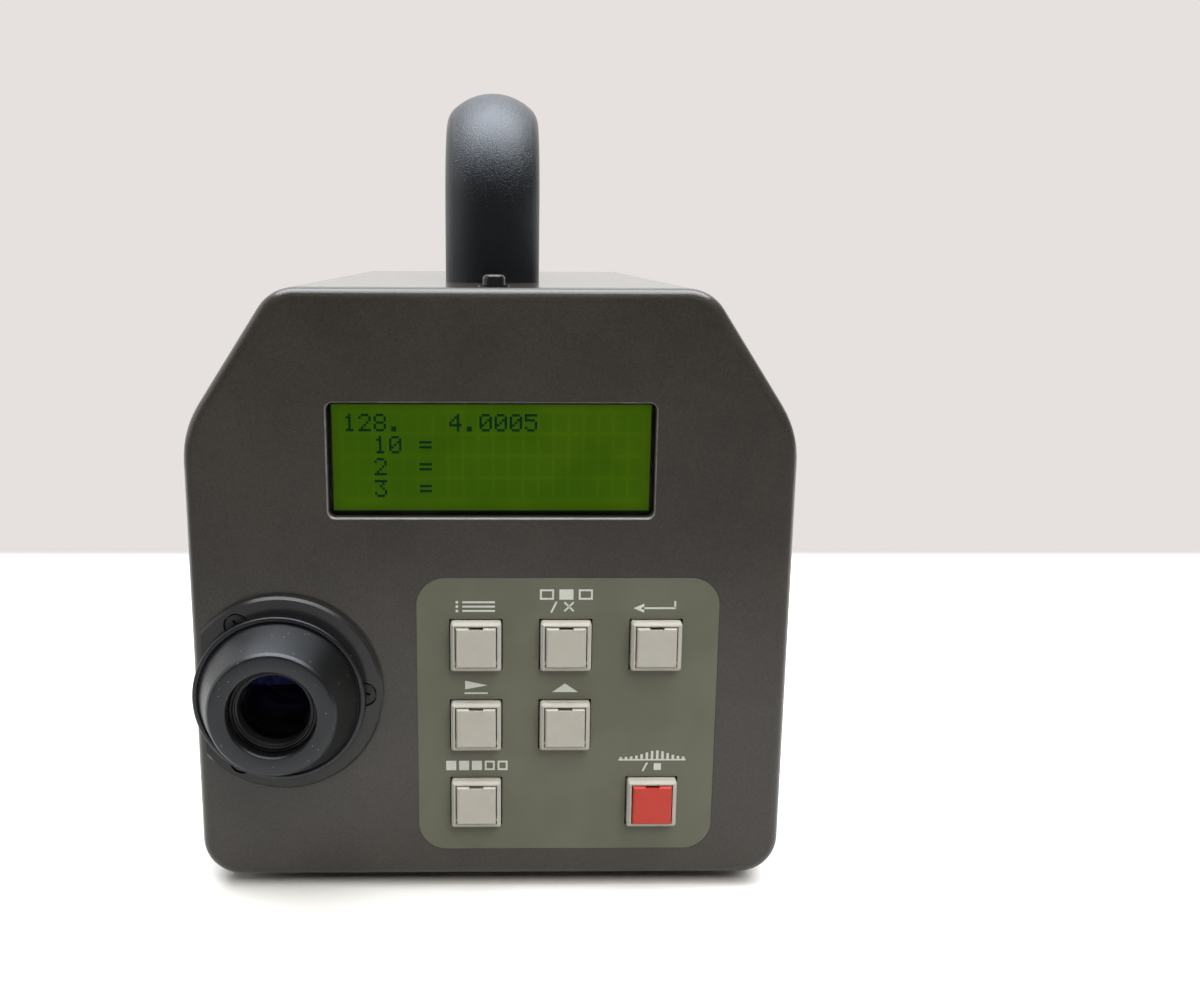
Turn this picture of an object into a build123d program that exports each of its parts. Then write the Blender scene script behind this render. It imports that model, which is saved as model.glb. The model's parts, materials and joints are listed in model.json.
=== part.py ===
from build123d import *
import math
import os

os.makedirs("parts", exist_ok=True)

# Housing
body_width = 146.0
body_height = 147.7
body_depth = 188.0
shoulder_height = 114.2
ridge_width = 102.0
corner_round = 9.5
shoulder_round = 26.0
ridge_round = 10.5
edge_round = 2.8
foot_height = 3.5
panel_thickness = 4.0
rim_depth = 10.0
rim_thickness = 2.4
cover_wall = 2.0
cover_seam = 0.4
slip = 0.1
overrun = 1.0
base_rise = 12.0
lip_rise = 22.0
lip_thickness = 2.0
lip_setback = 18.0

# Handle and top stud
handle_start = 38.0
handle_length = 124.0
handle_width = 24.9
handle_rise = 50.5
handle_thickness = 17.5
handle_crown = 15.7
handle_bend = 30.0
handle_round = 6.0
grip_round = 4.5
handle_plate_width = 34.0
handle_plate_margin = 5.0
handle_plate_thickness = 3.0
handle_screw_radius = 2.5
handle_screw_bite = 12.0
handle_screw_spacing = 12.0
handle_screw_head = 4.5
handle_screw_head_height = 3.0
stud_x = 0.5
stud_depth = 9.0
stud_flange_radius = 3.7
stud_flange_thickness = 0.4
stud_radius = 2.65
stud_height = 2.9
stud_dome = 1.1
stud_shank = 1.5
stud_slot_length = 2.8
stud_slot_width = 0.6
stud_slot_depth = 0.8

# Display
display_x = 0.0
display_drop = 40.3
display_width = 77.5
display_tall = 27.4
display_round = 1.6
display_bevel = 0.5
window_depth = 2.5
window_margin = 2.5
window_thickness = 1.4
bezel_margin = 6.0
bezel_lip = 0.7
glass_width = 76.1
glass_tall = 25.8
glass_margin = 1.5
glass_thickness = 2.2
board_thickness = 1.6
display_board_width = 98.0
display_board_tall = 56.0
boss_radius = 3.0
boss_inset = 3.5

# Keys
overlay_left_gap = 8.3
overlay_right_inset = 17.6
overlay_low = 7.7
overlay_high_gap = 14.9
overlay_round = 7.0
overlay_recess = 0.3
overlay_thickness = 0.35
key_column_shares = (0.1957, 0.4925, 0.7914)
key_row_shares = (0.7637, 0.4726, 0.1836)
housing_side = 12.3
housing_round = 0.7
housing_gap = 0.35
housing_proud = 2.5
housing_bevel = 0.6
key_board_depth = 9.0
well_depth = 4.0
key_width = 9.7
key_tall = 10.0
key_side_gap = 0.3
key_foot_gap = 0.12
key_head_gap = 0.28
key_proud = 3.0
key_thickness = 1.8
key_bevel = 0.35
notch_width = 3.5
notch_tall = 0.5
key_pin_radius = 0.5
key_pin_rise = 0.9
key_pin_sink = 1.3
key_pin_reach = 0.45
running_gap = 0.05
stem_radius = 1.4
stem_end = 2.6
contact_radius = 2.2
contact_height = 0.8
keypad_board_margin = 3.0

# Eyepiece
eye_inset = 21.8
axis_height_share = 0.63
flange_radius = 24.7
flange_thickness = 2.4
flange_bevel = 0.6
flange_flat = 18.7
eye_screw_inset = 4.5
eye_screw_count = 3
eye_recess_radius = 3.1
eye_recess_depth = 1.5
eye_screw_head = 2.7
eye_screw_head_height = 1.2
eye_screw_shank = 1.2
sleeve_outer = 14.0
sleeve_bore = 11.6
sleeve_reach = 9.0
sleeve_tail = 24.0
ring_outer = 16.5
ring_reach = 11.5
ring_stand = 0.5
ring_web = 2.1
ring_bore = 10.6
cup_rim_radius = 20.8
cup_rim_back = 4.0
cup_rim_band = 1.9
cup_cone_radius = 20.1
cup_nose_radius = 14.9
cup_reach = 16.0
cup_nose_round = 1.1
cup_bore = 10.4
cell_reach = 13.0
cell_nose_radius = 10.2
cell_shoulder = 7.2
cell_radius = 11.5
cell_tail = 10.0
cell_bore = 8.0
cell_seat = 6.6
cell_pocket = 9.7
eye_lens_radius = 9.6
eye_lens_edge = 2.0
eye_lens_crown = 1.0
eye_lens_land = 1.7
retainer_radius = 9.65
retainer_bore = 8.6
retainer_setback = 0.2

# Objective
lens_inset = 37.0
lens_reach = 67.0
mount_radius = 34.0
mount_thickness = 5.0
mount_screw_orbit_radius = 30.9
mount_screw_count = 4
tail_radius = 20.0
tail_bore = 17.0
tail_reach = 14.0
barrel_base_radius = 27.9
barrel_base_length = 11.5
barrel_radius = 26.9
barrel_bore = 25.0
barrel_bore_depth = 30.0
barrel_length = 43.0
focus_radius = 31.3
focus_length = 31.0
ring_clearance = 0.5
grip_radius = 33.0
grip_rib_depth = 1.1
grip_rib_count = 36
grip_rib_share = 0.55
grip_margin = 4.0
front_cell_radius = 31.0
front_cell_tail = 13.0
front_cell_wall = 4.0
front_cell_gap = 1.0
filter_radius = 26.05
filter_depth = 4.0
front_lens_radius = 23.0
front_lens_edge = 4.0
front_lens_crown = 2.4
front_lens_inner_crown = 0.8
front_lens_land = 2.1
front_lens_back = 11.0
front_retainer_bore = 21.4
front_retainer_thickness = 2.0
rear_lens_edge = 4.0
rear_lens_crown = 1.6
rear_lens_inset = 2.0
small_lens_land = 0.6
rim_bevel = 0.8

# Underside and fasteners
foot_radius = 8.0
foot_sole_radius = 7.0
foot_side_inset = 19.0
foot_inset = 24.0
foot_recess = 1.2
tripod_width = 34.0
tripod_length = 44.0
tripod_depth = 98.0
tripod_drop = 1.5
tripod_rise = 7.8
tripod_round = 4.0
tripod_flange = 6.0
tripod_flange_thickness = 3.0
tripod_spacing = 20.0
small_thread_radius = 3.25
large_thread_radius = 4.85
thread_depth = 8.0
screw_head_radius = 2.7
screw_head_depth = 1.4
screw_shank = 1.4
screw_length = 5.0
screw_slot_length = 3.0
screw_slot_width = 0.7
screw_slot_depth = 0.8
side_screw_inset = 38.0
rim_screw_height = 84.0
bench_screw_left_inset = 10.0
bench_screw_right_inset = 8.0
bench_screw_inset = 44.0

# Connector panel
connector_depth = 122.0
connector_height = 42.0
recess_length = 84.0
recess_tall = 28.0
recess_round = 3.0
recess_floor = 9.0
tray_wall = 1.5
tray_flange = 4.0
switch_offset = -28.0
switch_length = 13.0
switch_tall = 19.0
switch_flange = 1.2
switch_margin = 1.0
switch_wall = 1.2
switch_body_depth = 11.0
rocker_gap = 0.25
rocker_well = 8.5
rocker_face = 0.4
rocker_radius = 8.0
rocker_tilt = 10.0
rocker_back = 3.4
rocker_pin_radius = 1.0
rocker_pin_sink = 1.6
rocker_pin_reach = 0.8
inlet_offset = -8.0
inlet_radius = 5.5
inlet_flange_radius = 6.5
inlet_flange_thickness = 1.0
inlet_bore = 3.1
inlet_pin = 1.05
inlet_pocket = 9.0
inlet_pin_setback = 1.5
inlet_body_depth = 11.5
data_offset = 19.0
data_flange_end = 2.9
data_flange_tall = 12.5
data_flange_thickness = 1.0
data_flange_round = 2.0
data_shell_length = 16.9
data_shell_tall = 8.4
data_shell_slant = 1.4
data_shell_reach = 5.8
data_shell_round = 1.8
data_body_length = 19.0
data_body_tall = 10.6
data_body_depth = 11.0
data_hole_radius = 0.55
data_hole_pitch = 2.77
data_hole_rows = 2.84
data_hole_depth = 4.0
hex_spacing = 25.0
hex_radius = 2.75
hex_length = 5.0
hex_bore = 1.25

# Inner frame and optics
bench_left_inset = 11.0
bench_right_inset = 23.0
bench_start = 20.0
bench_end = 168.0
bench_thickness = 6.0
bench_clearance = 1.5
bench_round = 6.0
saddle_front = 40.0
saddle_rear = 100.0
saddle_thickness = 5.0
saddle_inset = 0.5
saddle_side = 12.2
saddle_cap = 16.0
saddle_round = 5.0
tube_radius = 8.0
tube_bore = 6.6
tube_start = 34.0
tube_end = 112.0
relay_edge = 2.5
relay_crown = 0.8
relay_depth = 70.0
mirror_depth = 134.0
mirror_side = 13.0
mirror_thickness = 1.5
mirror_seat_gap = 0.05
pinhole_radius = 0.6
column_half = 6.0
column_hole = 2.0
column_cap = 10.0
guide_radius = 4.0
guide_bend_share = 0.52
quarter_turn = 90
guide_start = 111.5
guide_turn_depth = 74.0
motor_drop = 17.0
motor_radius = 8.0
motor_start = 96.0
motor_end = 110.5
blade_depth = 112.5
blade_thickness = 0.6
blade_disc = 4.6
blade_arm = 3.4
shaft_radius = 1.2
shaft_sink = 4.0
hub_radius = 2.6
hub_length = 2.4
spectro_inset = 25.0
spectro_width = 44.0
spectro_start = 36.0
spectro_end = 152.0
spectro_cap = 26.0
spectro_wall = 3.0
spectro_round = 4.0
lid_thickness = 3.0
slit_skin = 0.5
slit_width = 0.3
slit_tall = 6.0
collimator_inset = 15.0
imaging_inset = 26.0
imaging_depth = 104.0
grating_inset = 29.0
grating_side = 18.0
grating_thickness = 5.0
grating_tilt = 38.0
pedestal_side = 9.0
inner_lens_radius = 9.0
inner_lens_edge = 3.0
inner_lens_crown = 1.5
holder_thickness = 5.0
holder_half = 12.0
holder_cap = 14.0
detector_board_width = 34.0
detector_board_tall = 40.0
detector_length = 24.0
detector_tall = 8.0
detector_thickness = 3.0
main_board_overhang = 12.0
main_board_start = 30.0
main_board_end = 150.0
spacer_height = 6.0
spacer_radius = 2.5
spacer_inset = 5.0
board_gap = 4.0
power_board_start = 34.0
power_board_end = 116.0
post_height = 18.0
post_inset = 4.0
post_spacing = 14.0
transformer_side = 26.0
transformer_height = 16.0
chip_side = 20.0
chip_height = 2.4
chip_pitch = 34.0

# Places worked out from those sizes
face_y = (cup_reach - body_depth - lens_reach) / 2
half_width = body_width / 2
display_height = body_height - display_drop
axis_height = axis_height_share * (display_height - display_board_tall / 2)
eye_x = eye_inset - half_width
lens_x = lens_inset - half_width
cover_start = panel_thickness + cover_seam
cover_end = body_depth - cover_start
rim_inset = cover_wall + slip
ground = foot_height
mount_face = body_depth + mount_thickness
lens_front = body_depth + lens_reach
tray_floor = half_width - recess_floor
handle_end = handle_start + handle_length
screw_angle = 2 * math.degrees(math.atan2(screw_head_radius - screw_shank, screw_head_depth))


def across(depth):
    """A plane across the instrument, at a depth behind the operator's panel."""
    return Plane(origin=(0, face_y + depth, ground), x_dir=(1, 0, 0), z_dir=(0, -1, 0))


def level(height):
    """A level plane, at a height over the housing's bottom edge."""
    return Plane(origin=(0, face_y, ground + height), x_dir=(1, 0, 0), z_dir=(0, 0, 1))


def beside(x):
    """A plane along the instrument at one x, with depth along it and height up it."""
    return Plane(origin=(x, face_y, ground), x_dir=(0, 1, 0), z_dir=(1, 0, 0))


def turning(x, height):
    """The plane of a turned profile, with depth along it and radius up it."""
    return Plane(origin=(x, face_y, ground + height), x_dir=(0, 1, 0), z_dir=(1, 0, 0))


def line_of(x, height):
    """The axis of a turned part."""
    return Axis((x, face_y, ground + height), (0, 1, 0))


def housing_section(inset):
    """The housing's section inside an inset: a rectangle with chamfered, rounded shoulders."""
    chamfer_x = half_width - ridge_width / 2
    chamfer_z = body_height - shoulder_height
    slant = math.hypot(chamfer_x, chamfer_z)
    lean_x = chamfer_z / slant
    lean_z = chamfer_x / slant
    half = half_width - inset
    top = body_height - inset
    shoulder = shoulder_height - inset * (1 - lean_x) / lean_z
    ridge = ridge_width / 2 - inset * (1 - lean_z) / lean_x
    with BuildSketch(mode=Mode.PRIVATE) as section:
        with BuildLine():
            Polyline(
                (-half, inset),
                (half, inset),
                (half, shoulder),
                (ridge, top),
                (-ridge, top),
                (-half, shoulder),
                close=True,
            )
        make_face()
        for height, radius in (
            (inset, corner_round),
            (top, ridge_round),
            (shoulder, shoulder_round),
        ):
            corners = section.vertices().filter_by_position(Axis.Y, height - slip, height + slip)
            fillet(corners, radius - inset)
    return section.sketch


def housing_band(outer_inset, inner_inset, low, high):
    """A band of the housing's section between two insets and two heights."""
    with BuildSketch(mode=Mode.PRIVATE) as band:
        add(housing_section(outer_inset))
        add(housing_section(inner_inset), mode=Mode.SUBTRACT)
        with Locations((0, (low + high) / 2)):
            Rectangle(body_width + overrun, high - low, mode=Mode.INTERSECT)
    return band.sketch


def lens_section(depth, radius, edge, land, front_crown, back_crown):
    """Half of a lens's section: two spherical faces inside flat lands, and its edge."""
    clear = radius - land
    middle = clear / 2
    front_sphere = (clear**2 + front_crown**2) / (2 * front_crown)
    back_sphere = (clear**2 + back_crown**2) / (2 * back_crown)
    front_sag = front_crown - front_sphere + math.sqrt(front_sphere**2 - middle**2)
    back_sag = back_crown - back_sphere + math.sqrt(back_sphere**2 - middle**2)
    with BuildSketch(mode=Mode.PRIVATE) as section:
        with BuildLine():
            front = ThreePointArc(
                (depth - front_crown, 0), (depth - front_sag, middle), (depth, clear)
            )
            Line((depth, clear), (depth, radius))
            Line((depth, radius), (depth + edge, radius))
            Line((depth + edge, radius), (depth + edge, clear))
            back = ThreePointArc(
                (depth + edge, clear),
                (depth + edge + back_sag, middle),
                (depth + edge + back_crown, 0),
            )
            Line(back @ 1, front @ 0)
        make_face()
    return section.sketch


# Where each key's square housing is centred
overlay_left = eye_x + flange_radius + overlay_left_gap
overlay_right = half_width - overlay_right_inset
overlay_high = display_height - display_tall / 2 - overlay_high_gap
overlay_width = overlay_right - overlay_left
overlay_tall = overlay_high - overlay_low
key_columns = [overlay_left + share * overlay_width for share in key_column_shares]
key_rows = [overlay_low + share * overlay_tall for share in key_row_shares]
key_places = {
    "menu_key": (key_columns[0], key_rows[0]),
    "select_key": (key_columns[1], key_rows[0]),
    "enter_key": (key_columns[2], key_rows[0]),
    "right_key": (key_columns[0], key_rows[1]),
    "up_key": (key_columns[1], key_rows[1]),
    "memory_key": (key_columns[0], key_rows[2]),
    "measure_key": (key_columns[2], key_rows[2]),
}
key_points = list(key_places.values())
overlay_centre = ((overlay_left + overlay_right) / 2, (overlay_low + overlay_high) / 2)
hole_side = housing_side + 2 * housing_gap
display_centre = (display_x, display_height)
display_boss_x = display_board_width / 2 - boss_inset
display_boss_z = display_board_tall / 2 - boss_inset
keypad_board_width = key_columns[2] - key_columns[0] + housing_side + 2 * keypad_board_margin
keypad_board_tall = key_rows[0] - key_rows[2] + housing_side + 2 * keypad_board_margin
keypad_centre = ((key_columns[0] + key_columns[2]) / 2, (key_rows[0] + key_rows[2]) / 2)
well_width = key_width + 2 * key_side_gap
well_tall = key_tall + key_foot_gap + key_head_gap
eye_centre = (eye_x, axis_height)
eye_screw_orbit = flange_radius - eye_screw_inset
lens_centre = (lens_x, axis_height)
rim_screw_depth = panel_thickness + rim_depth / 2
lip_screw_height = (base_rise + lip_rise) / 2

# Countersunk screws: the cover's sides, its rims, the feet, the bench and the lens mount
side_planes = [
    Plane((side * half_width, face_y + depth, ground + height), z_dir=(side, 0, 0))
    for side in (-1, 1)
    for depth, height in (
        (side_screw_inset, lip_screw_height),
        (body_depth / 2, lip_screw_height),
        (body_depth - side_screw_inset, lip_screw_height),
        (rim_screw_depth, rim_screw_height),
        (body_depth - rim_screw_depth, rim_screw_height),
    )
]
foot_x = half_width - foot_side_inset
foot_places = [
    (side * foot_x, depth) for side in (-1, 1) for depth in (foot_inset, body_depth - foot_inset)
]
bench_left = bench_left_inset - half_width
bench_right = half_width - bench_right_inset
bench_places = [
    (x, depth)
    for x in (bench_left + bench_screw_left_inset, bench_right - bench_screw_right_inset)
    for depth in (bench_screw_inset, body_depth - bench_screw_inset)
]
foot_planes = [
    Plane((x, face_y + depth, foot_recess), z_dir=(0, 0, -1)) for x, depth in foot_places
]
bench_planes = [Plane((x, face_y + depth, ground), z_dir=(0, 0, -1)) for x, depth in bench_places]
mount_turns = [math.radians((2 * n + 1) * 180 / mount_screw_count) for n in range(mount_screw_count)]
mount_planes = [
    Plane(
        (
            lens_x + mount_screw_orbit_radius * math.cos(turn),
            face_y + mount_face,
            ground + axis_height + mount_screw_orbit_radius * math.sin(turn),
        ),
        z_dir=(0, 1, 0),
    )
    for turn in mount_turns
]
handle_screw_places = [
    (side * handle_screw_spacing / 2, depth)
    for side in (-1, 1)
    for depth in (handle_start + handle_thickness / 2, handle_end - handle_thickness / 2)
]

# Operator's panel: a rounded plate with a rim that the cover slips over
with BuildPart() as operator_panel:
    with BuildSketch(across(0)):
        add(housing_section(0))
    extrude(amount=-panel_thickness)
    fillet(faces().sort_by(Axis.Y)[0].outer_wire().edges(), edge_round)
    with BuildSketch(across(panel_thickness)):
        add(housing_section(rim_inset))
        add(housing_section(rim_inset + rim_thickness), mode=Mode.SUBTRACT)
    extrude(amount=-rim_depth)
    with BuildSketch(across(panel_thickness)):
        with Locations(display_centre):
            with GridLocations(2 * display_boss_x, 2 * display_boss_z, 2, 2):
                Circle(boss_radius)
        with Locations(keypad_centre):
            with GridLocations(keypad_board_width, keypad_board_tall, 2, 2):
                Circle(boss_radius)
    extrude(amount=panel_thickness - key_board_depth)
    with BuildSketch(across(0)):
        with Locations(display_centre):
            RectangleRounded(display_width, display_tall, display_round)
    extrude(amount=-panel_thickness, mode=Mode.SUBTRACT)
    chamfer(faces().sort_by(Axis.Y)[0].inner_wires()[0].edges(), display_bevel)
    with BuildSketch(across(window_depth)):
        with Locations(display_centre):
            Rectangle(display_width + 2 * window_margin, display_tall + 2 * window_margin)
    extrude(amount=window_depth - panel_thickness, mode=Mode.SUBTRACT)
    with BuildSketch(across(0)):
        with Locations(overlay_centre):
            RectangleRounded(overlay_width + 2 * slip, overlay_tall + 2 * slip, overlay_round)
    extrude(amount=-overlay_recess, mode=Mode.SUBTRACT)
    with BuildSketch(across(0)):
        with Locations(*key_points):
            Rectangle(hole_side, hole_side)
        with Locations(eye_centre):
            Circle(sleeve_outer + slip)
            with PolarLocations(eye_screw_orbit, eye_screw_count):
                Circle(eye_screw_shank + slip)
    extrude(amount=-panel_thickness, mode=Mode.SUBTRACT)
    with BuildSketch(level(body_height)):
        with Locations((stud_x, stud_depth)):
            Circle(stud_shank + slip)
    extrude(amount=-cover_wall - 2 * rim_thickness, mode=Mode.SUBTRACT)
    with Locations(*side_planes):
        Hole(screw_shank + slip, depth=screw_length + slip)
operator_panel.part.label = "operator_panel"
export_step(operator_panel.part, "parts/operator_panel.step")

# Lens panel: the same plate at the far end, with the opening for the lens's tail
with BuildPart() as lens_panel:
    with BuildSketch(across(body_depth)):
        add(housing_section(0))
    extrude(amount=panel_thickness)
    fillet(faces().sort_by(Axis.Y)[-1].outer_wire().edges(), edge_round)
    with BuildSketch(across(body_depth - panel_thickness)):
        add(housing_section(rim_inset))
        add(housing_section(rim_inset + rim_thickness), mode=Mode.SUBTRACT)
    extrude(amount=rim_depth)
    with BuildSketch(across(body_depth)):
        with Locations(lens_centre):
            Circle(tail_radius + slip)
    extrude(amount=panel_thickness, mode=Mode.SUBTRACT)
    with Locations(*side_planes, *mount_planes):
        Hole(screw_shank + slip, depth=mount_thickness + screw_length)
lens_panel.part.label = "lens_panel"
export_step(lens_panel.part, "parts/lens_panel.step")

# Cover: the wrap over the sides, the chamfers and the top
with BuildPart() as top_cover:
    with BuildSketch(across(cover_start)):
        add(housing_band(0, cover_wall, base_rise + cover_seam, body_height + overrun))
    extrude(amount=cover_start - cover_end)
    with BuildSketch(level(body_height)):
        with Locations((stud_x, stud_depth)):
            Circle(stud_shank + slip)
        with Locations(*handle_screw_places):
            Circle(handle_screw_radius + slip)
    extrude(amount=-cover_wall, mode=Mode.SUBTRACT)
    with BuildSketch(beside(half_width)):
        with Locations((connector_depth, connector_height)):
            RectangleRounded(recess_length, recess_tall, recess_round)
    extrude(amount=-cover_wall, mode=Mode.SUBTRACT)
    with Locations(*side_planes):
        CounterSinkHole(screw_shank + slip, screw_head_radius + slip, cover_wall, screw_angle)
top_cover.part.label = "top_cover"
export_step(top_cover.part, "parts/top_cover.step")

# Base: the tray under the cover, with side lips that the cover is screwed to
with BuildPart() as base_chassis:
    with BuildSketch(across(cover_start)):
        add(housing_band(0, cover_wall, 0, base_rise))
    extrude(amount=cover_start - cover_end)
    with BuildSketch(across(lip_setback)):
        add(housing_band(cover_wall, cover_wall + lip_thickness, corner_round, base_rise))
        add(housing_band(rim_inset, cover_wall + lip_thickness, base_rise, lip_rise))
    extrude(amount=2 * lip_setback - body_depth)
    with BuildSketch(level(0)):
        with Locations((0, tripod_depth)):
            RectangleRounded(tripod_width + 2 * slip, tripod_length + 2 * slip, tripod_round)
    extrude(amount=cover_wall, mode=Mode.SUBTRACT)
    with Locations(*side_planes):
        Hole(screw_shank + slip, depth=screw_length + slip)
    with Locations(*foot_planes):
        Hole(screw_shank + slip, depth=foot_height + cover_wall)
    with Locations(*bench_planes):
        CounterSinkHole(screw_shank + slip, screw_head_radius + slip, cover_wall, screw_angle)
base_chassis.part.label = "base_chassis"
export_step(base_chassis.part, "parts/base_chassis.step")

# Four rubber feet
with BuildPart() as feet:
    with Locations(*[Plane((x, face_y + depth, 0)) for x, depth in foot_places]):
        Cone(
            foot_sole_radius,
            foot_radius,
            foot_height,
            align=(Align.CENTER, Align.CENTER, Align.MIN),
        )
    with Locations(*foot_planes):
        CounterSinkHole(screw_shank + slip, screw_head_radius + slip, foot_height, screw_angle)
    with BuildSketch(Plane.XY):
        with Locations(*[(x, face_y + depth) for x, depth in foot_places]):
            Circle(screw_head_radius + slip)
    extrude(amount=foot_recess, mode=Mode.SUBTRACT)
feet.part.label = "feet"
export_step(feet.part, "parts/feet.step")

# Every countersunk screw of the case, the feet, the bench and the lens mount
top_of_screw = (Align.CENTER, Align.CENTER, Align.MAX)
with BuildPart() as case_screws:
    for planes, length in (
        (side_planes, screw_length),
        (foot_planes, foot_height + cover_wall - foot_recess),
        (bench_planes, screw_length),
        (mount_planes, mount_thickness + panel_thickness),
    ):
        with Locations(*planes):
            Cone(screw_shank, screw_head_radius, screw_head_depth, align=top_of_screw)
            Cylinder(screw_shank, length, align=top_of_screw)
            Box(
                screw_slot_length,
                screw_slot_width,
                screw_slot_depth,
                align=top_of_screw,
                mode=Mode.SUBTRACT,
            )
            Box(
                screw_slot_width,
                screw_slot_length,
                screw_slot_depth,
                align=top_of_screw,
                mode=Mode.SUBTRACT,
            )
case_screws.part.label = "case_screws"
export_step(case_screws.part, "parts/case_screws.step")

# Tripod block: a flanged block through the base, with two threaded sockets
with BuildPart() as tripod_block:
    with BuildSketch(level(-tripod_drop)):
        with Locations((0, tripod_depth)):
            RectangleRounded(tripod_width, tripod_length, tripod_round)
    extrude(amount=tripod_drop + tripod_rise)
    with BuildSketch(level(cover_wall)):
        with Locations((0, tripod_depth)):
            RectangleRounded(
                tripod_width + 2 * tripod_flange,
                tripod_length + 2 * tripod_flange,
                tripod_round,
            )
    extrude(amount=tripod_flange_thickness)
    with BuildSketch(level(-tripod_drop)):
        with Locations((0, tripod_depth - tripod_spacing / 2)):
            Circle(small_thread_radius)
        with Locations((0, tripod_depth + tripod_spacing / 2)):
            Circle(large_thread_radius)
    extrude(amount=thread_depth, mode=Mode.SUBTRACT)
tripod_block.part.label = "tripod_block"
export_step(tripod_block.part, "parts/tripod_block.step")

# Handle: a bar with a crowned outer side, swept along an arch over the top
with BuildPart() as handle:
    with BuildLine(beside(0)) as arch:
        Polyline(
            (handle_start, body_height),
            (handle_start, body_height + handle_rise),
            (handle_end, body_height + handle_rise),
            (handle_end, body_height),
        )
        fillet(arch.vertices().group_by(Axis.Z)[-1], handle_bend)
    with BuildSketch(level(body_height)) as bar:
        with Locations((0, handle_start + handle_thickness / 2)):
            Rectangle(handle_width, handle_thickness)
        with Locations((0, handle_start + handle_crown)):
            Circle(handle_crown, mode=Mode.INTERSECT)
        fillet(bar.vertices().group_by(Axis.Y)[0], handle_round)
        fillet(bar.vertices().group_by(Axis.Y)[-1], grip_round)
    sweep()
    with BuildSketch(level(body_height)):
        with Locations(*handle_screw_places):
            Circle(handle_screw_radius + slip)
    extrude(amount=handle_screw_bite + slip, mode=Mode.SUBTRACT)
handle.part.label = "handle"
export_step(handle.part, "parts/handle.step")

# Stiffening plate under the cover's top, and the handle's screws through it
handle_plate_top = body_height - cover_wall
arch_middle = (handle_start + handle_end) / 2
with BuildPart() as handle_plate:
    with BuildSketch(level(handle_plate_top)):
        with Locations((0, arch_middle)):
            RectangleRounded(
                handle_plate_width,
                handle_length + 2 * handle_plate_margin,
                handle_plate_margin,
            )
        with Locations(*handle_screw_places):
            Circle(handle_screw_radius + slip, mode=Mode.SUBTRACT)
    extrude(amount=-handle_plate_thickness)
handle_plate.part.label = "handle_plate"
export_step(handle_plate.part, "parts/handle_plate.step")

head_top = handle_plate_top - handle_plate_thickness
with BuildPart() as handle_screws:
    with BuildSketch(level(head_top)):
        with Locations(*handle_screw_places):
            Circle(handle_screw_head)
    extrude(amount=-handle_screw_head_height)
    with BuildSketch(level(head_top)):
        with Locations(*handle_screw_places):
            Circle(handle_screw_radius)
    extrude(amount=body_height + handle_screw_bite - head_top)
handle_screws.part.label = "handle_screws"
export_step(handle_screws.part, "parts/handle_screws.step")

# Flanged stud near the top's front edge
with BuildPart() as top_stud:
    with BuildSketch(level(body_height)):
        with Locations((stud_x, stud_depth)):
            Circle(stud_flange_radius)
    extrude(amount=stud_flange_thickness)
    with BuildSketch(level(body_height)):
        with Locations((stud_x, stud_depth)):
            Circle(stud_radius)
    extrude(amount=stud_height)
    fillet(faces().sort_by(Axis.Z)[-1].edges(), stud_dome)
    with BuildSketch(level(body_height)):
        with Locations((stud_x, stud_depth)):
            Circle(stud_shank)
    extrude(amount=-cover_wall - slip - rim_thickness)
    with BuildSketch(level(body_height + stud_height)):
        with Locations((stud_x, stud_depth)):
            Rectangle(stud_slot_length, stud_slot_width)
            Rectangle(stud_slot_width, stud_slot_length)
    extrude(amount=-stud_slot_depth, mode=Mode.SUBTRACT)
top_stud.part.label = "top_stud"
export_step(top_stud.part, "parts/top_stud.step")

# Display: a clear window, the module's bezel, its glass and its board
with BuildPart() as display_window:
    with BuildSketch(across(window_depth)):
        with Locations(display_centre):
            Rectangle(
                display_width + 2 * window_margin - 2 * slip,
                display_tall + 2 * window_margin - 2 * slip,
            )
    extrude(amount=-window_thickness)
display_window.part.label = "display_window"
export_step(display_window.part, "parts/display_window.step")

glass_depth = panel_thickness + bezel_lip
with BuildPart() as display_bezel:
    with BuildSketch(across(panel_thickness)):
        with Locations(display_centre):
            Rectangle(display_width + 2 * bezel_margin, display_tall + 2 * bezel_margin)
            Rectangle(glass_width, glass_tall, mode=Mode.SUBTRACT)
    extrude(amount=panel_thickness - key_board_depth)
    with BuildSketch(across(glass_depth)):
        with Locations(display_centre):
            Rectangle(
                glass_width + 2 * glass_margin + 2 * slip,
                glass_tall + 2 * glass_margin + 2 * slip,
            )
    extrude(amount=glass_depth - key_board_depth, mode=Mode.SUBTRACT)
display_bezel.part.label = "display_bezel"
export_step(display_bezel.part, "parts/display_bezel.step")

with BuildPart() as display_glass:
    with BuildSketch(across(glass_depth)):
        with Locations(display_centre):
            Rectangle(glass_width + 2 * glass_margin, glass_tall + 2 * glass_margin)
    extrude(amount=-glass_thickness)
display_glass.part.label = "display_glass"
export_step(display_glass.part, "parts/display_glass.step")

with BuildPart() as display_board:
    with BuildSketch(across(key_board_depth)):
        with Locations(display_centre):
            Rectangle(display_board_width, display_board_tall)
    extrude(amount=-board_thickness)
    with BuildSketch(across(glass_depth + glass_thickness)):
        with Locations(display_centre):
            Rectangle(glass_width, glass_tall)
    extrude(amount=glass_depth + glass_thickness - key_board_depth)
display_board.part.label = "display_board"
export_step(display_board.part, "parts/display_board.step")

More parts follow.
